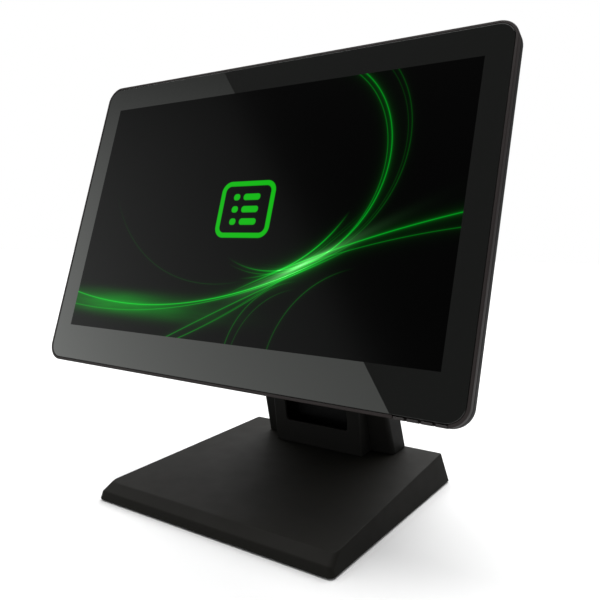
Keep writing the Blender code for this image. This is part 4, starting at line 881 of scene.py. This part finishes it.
port_edge = 0.25 * MM
port_plate_edge = 0.2 * MM
fin_aluminium = sheet_steel("fin_aluminium", (0.62, 0.63, 0.64), 0.42, (900.0, 900.0, 40.0))
dress(fin_aluminium, "heat_sink")
bright_steel = sheet_steel("bright_steel", (0.62, 0.62, 0.60), 0.26, (60.0, 700.0, 700.0))
dress(bright_steel, "solid_state_drive")
nylon_black = moulded_plastic("nylon_black", (0.011, 0.011, 0.011), 0.45, 900.0, 0.00003)
dress(nylon_black, "speaker_left", "speaker_right")
for source in ("lan_port", "usb_port_1", "usb_port_2"):
    refined(source + "_shell", source, port_edge, bright_steel, "head")
refined("power_inlet_body", "power_inlet", port_edge, nylon_black, "head")
refined("port_plate", "io_plate", port_plate_edge, bright_steel, "head")

# ---------------------------------------------------------------- rear cover
# The moulded back of the head: a thin tapering rim and a raised box with cooling slots, screwed to
# the frame at four corners; the ports look down through its bottom wall.

rear_low, rear_high = head_box("rear_cover")
rear_wall = 2.4 * MM
rear_edge = 0.3 * MM
rim_depth = 10.2 * MM
rim_back_edge = 6.0 * MM
rim_space_corner = 12 * MM
box_half = Vector((150 * MM, 92 * MM))
box_up = 26.0 * MM
box_corner = 20 * MM
box_back_edge = 8.5 * MM
slot_count = 6
first_slot = 40 * MM            # from the middle
slot_pitch = 9 * MM
slot_half = 1.5 * MM
slot_round = 1.45 * MM
slot_low = 49 * MM
slot_high = 75 * MM
cover_hole = 2.0 * MM
rim_front = frame_back + part_gap
rim_back = rim_front + rim_depth
rear = start_block("rear_cover_moulding", (frame_low.x, rim_front, glass_low.z - lip),
                   (frame_high.x, rim_back, glass_high.z + lip))
round_edges(rear, runs_back, frame_corner, 20)
round_edges(rear, lambda a, b: min(a.y, b.y) > rim_back - TINY, rim_back_edge, 6)
soften(rear, rear_edge, 2, 40.0)


def raised_box(name, inset, front, back):
    """The raised box, or the space inside it when it is inset."""
    box = start_block(name, (-box_half.x + inset, front, box_up - box_half.y + inset),
                      (box_half.x - inset, back, box_up + box_half.y - inset))
    round_edges(box, runs_back, box_corner - inset, 12)
    round_edges(box, lambda a, b: min(a.y, b.y) > back - TINY, box_back_edge, 7)
    return box


join_or_cut(rear, raised_box("box", 0.0, rim_back - 3 * MM, rear_high.y), "UNION")
space = start_block("rim_space",
                    (frame_low.x + rear_wall, rim_front - OVERCUT, glass_low.z - lip + rear_wall),
                    (frame_high.x - rear_wall, rim_back - rear_wall, glass_high.z + lip - rear_wall))
round_edges(space, runs_back, rim_space_corner, 12)
round_edges(space, lambda a, b: min(a.y, b.y) > rim_back - rear_wall - TINY, rim_back_edge, 4)
join_or_cut(rear, space)
join_or_cut(rear, raised_box("box_space", rear_wall, rim_front - OVERCUT, rear_high.y - rear_wall))
for side in (-1, 1):
    for number in range(slot_count):
        x = side * (first_slot + number * slot_pitch)
        slot = start_block("slot", (x - slot_half, rear_high.y - 6 * MM, slot_low + box_up),
                           (x + slot_half, rear_high.y + 5 * MM, slot_high + box_up))
        round_edges(slot, runs_back, slot_round, 6)
        join_or_cut(rear, slot)
io_low, io_high = head_box("io_plate")
join_or_cut(rear, start_block("io_way", (io_low.x + 4 * MM, io_low.y - part_gap, rear_low.z - OVERCUT),
                              (io_high.x - 4 * MM, io_high.y - 0.8 * MM, io_low.z + 0.7 * MM)))
for number in corner_numbers:
    for source in (f"cover_screw_{number}", f"plate_screw_{number}"):
        screw_low, screw_high = head_box(source)
        screw_middle = (screw_low + screw_high) / 2
        join_or_cut(rear, start_round("hole", "Y", screw_middle, cover_hole, screw_middle.y - 2 * OVERCUT,
                                      screw_high.y + OVERCUT, 24))
soften(rear, rear_edge, 2, 45.0)
smooth_over(rear)
into_place(rear)
cover_black = moulded_plastic("cover_black", (0.0100, 0.0098, 0.0092), 0.60, specular=0.28)
put_on(rear, "head", cover_black, "rear_cover")
for number in corner_numbers:
    screw(f"cover_screw_{number}", "head", back_out, head_recess_arm)

# ---------------------------------------------------------------- studio
# A pale floor in a white room, wide soft lights above, at the right, in front and behind, and a
# glowing card at the left whose straight edge shows in the glass. The camera stands a little above
# the keys.


def plain_light(name, place, target, size, power):
    """A rectangular light at a place, turned to a target."""
    lamp = bpy.data.lights.new(name, "AREA")
    lamp.shape = "RECTANGLE"
    lamp.size, lamp.size_y = size
    lamp.energy = power
    holder = bpy.data.objects.new(name, lamp)
    bpy.context.scene.collection.objects.link(holder)
    holder.location = place
    holder.rotation_euler = (Vector(target) - Vector(place)).to_track_quat("-Z", "Y").to_euler()


overhead = bpy.data.lights.new("light_above", "SUN")
overhead.energy = 3.9
overhead.angle = radians(76)
holder = bpy.data.objects.new("light_above", overhead)
bpy.context.scene.collection.objects.link(holder)
holder.rotation_euler = (radians(-12), radians(-10), 0)
plain_light("light_right", (1.5, 0.1, 0.75), (0.0, 0.0, 0.15), (0.9, 0.9), 1.8)
plain_light("light_front", (0.35, -1.6, 0.12), (0.0, 0.0, 0.08), (1.4, 0.2), 3.0)
plain_light("light_behind", (-0.5, 1.5, 1.0), (0.0, 0.0, 0.15), (1.2, 0.8), 4.0)

camera_place = Vector((0.2988, -0.4438, 0.2095))
heading, dip, roll = radians(32.83), radians(-4.60), radians(1.41)
ahead = Vector((-sin(heading) * cos(dip), cos(heading) * cos(dip), sin(dip)))
level = Vector((cos(heading), sin(heading), 0))
upright = level.cross(ahead)
camera_right = level * cos(roll) + upright * sin(roll)
camera_up = upright * cos(roll) - level * sin(roll)

mirror_normal = (head_place.to_3x3() @ Vector((0, -1, 0))).normalized()
on_glass = head_place @ Vector((0, glass_low.y, 0))
mirrored = camera_place - 2 * (camera_place - on_glass).dot(mirror_normal) * mirror_normal
card_reach = 2.5                 # the card's distance past the glass, in times the camera's
edge_high = (-50.6 * MM, 139.5 * MM)    # where the card's edge crosses the glass's border
edge_low = (142.9 * MM, -117.3 * MM)
edge_more = (20 * MM, 27 * MM)
card_side = -260 * MM
card_foot = -160 * MM


def seen_at(x, z):
    """Where the camera's ray that meets the glass at x, z goes after the mirror, on the card's plane."""
    spot = head_place @ Vector((x, glass_low.y, z))
    return spot + (spot - mirrored) * card_reach


card_corners = [seen_at(edge_high[0] - edge_more[0], edge_high[1] + edge_more[1]),
                seen_at(card_side, edge_high[1] + edge_more[1]),
                seen_at(card_side, card_foot),
                seen_at(edge_low[0] + edge_more[0], edge_low[1] - edge_more[1])]
bpy.ops.object.select_all(action="DESELECT")
bpy.ops.mesh.primitive_plane_add(size=1.0)
card = bpy.context.object
card.name = "light_card"
for vertex, number in zip(card.data.vertices, (2, 3, 1, 0)):
    vertex.co = card_corners[number]
card.visible_camera = False
card.visible_shadow = False
card_glow = bpy.data.materials.new("card_glow")
card_glow.use_nodes = True
tree = card_glow.node_tree
tree.nodes.clear()
place = node(tree, "TexCoord").outputs["Object"]
from_corner = node(tree, "VectorMath", {0: place, 1: card_corners[2]}, operation="SUBTRACT").outputs[0]
card_across, card_up = (
    node(tree, "VectorMath", {0: from_corner, 1: way}, operation="DOT_PRODUCT").outputs["Value"]
    for way in ((1, 0, 0), up_screen))
to_side = maths(tree, "MULTIPLY_ADD", card_across, -0.9, 2.5)
to_top = maths(tree, "MAXIMUM", maths(tree, "MULTIPLY_ADD", card_up, -0.76, 1.0), 0.12)
strength = maths(tree, "MULTIPLY", to_side, to_top)
shining = node(tree, "Emission", {"Color": (0.98, 1.0, 0.985, 1.0), "Strength": strength})
tree.links.new(shining.outputs[0], node(tree, "OutputMaterial").inputs["Surface"])
card.data.materials.append(card_glow)

bpy.ops.mesh.primitive_plane_add(size=60.0, location=(0, 0, 0))
floor = bpy.context.object
floor.name = "floor"
floor_white, tree, shader = start_material("floor_white", Roughness=0.9, Specular_IOR_Level=0.1)
place = node(tree, "TexCoord").outputs["Object"]
paper = node(tree, "TexNoise", {"Vector": place, "Scale": 3.0, "Detail": 2.0})
pale = mixed(tree, paper.outputs["Fac"], (0.92, 0.92, 0.92), (0.94, 0.94, 0.94))
seen = node(tree, "LightPath").outputs["Is Camera Ray"]         # it throws back less than it shows
tree.links.new(mixed(tree, seen, (0.5, 0.5, 0.5), pale), shader.inputs["Base Color"])
floor.data.materials.append(floor_white)

room = bpy.data.worlds.new("room")
room.use_nodes = True
bpy.context.scene.world = room
tree = room.node_tree
sky = tree.nodes["Background"]
looked_at = node(tree, "LightPath").outputs["Is Camera Ray"]
tree.links.new(between(tree, looked_at, 0.16, 1.0), sky.inputs["Strength"])
sky.inputs["Color"].default_value = (1, 1, 1, 1)
bpy.context.scene.view_settings.view_transform = "Standard"

lens = bpy.data.cameras.new("camera")
lens.sensor_width = 36.0
lens.lens = 37.27
lens.shift_x = -0.00025
lens.shift_y = 0.0052
eye = bpy.data.objects.new("camera", lens)
bpy.context.scene.collection.objects.link(eye)
eye.matrix_world = Matrix((
    (camera_right.x, camera_up.x, -ahead.x, camera_place.x),
    (camera_right.y, camera_up.y, -ahead.y, camera_place.y),
    (camera_right.z, camera_up.z, -ahead.z, camera_place.z),
    (0, 0, 0, 1)))
bpy.context.scene.camera = eye
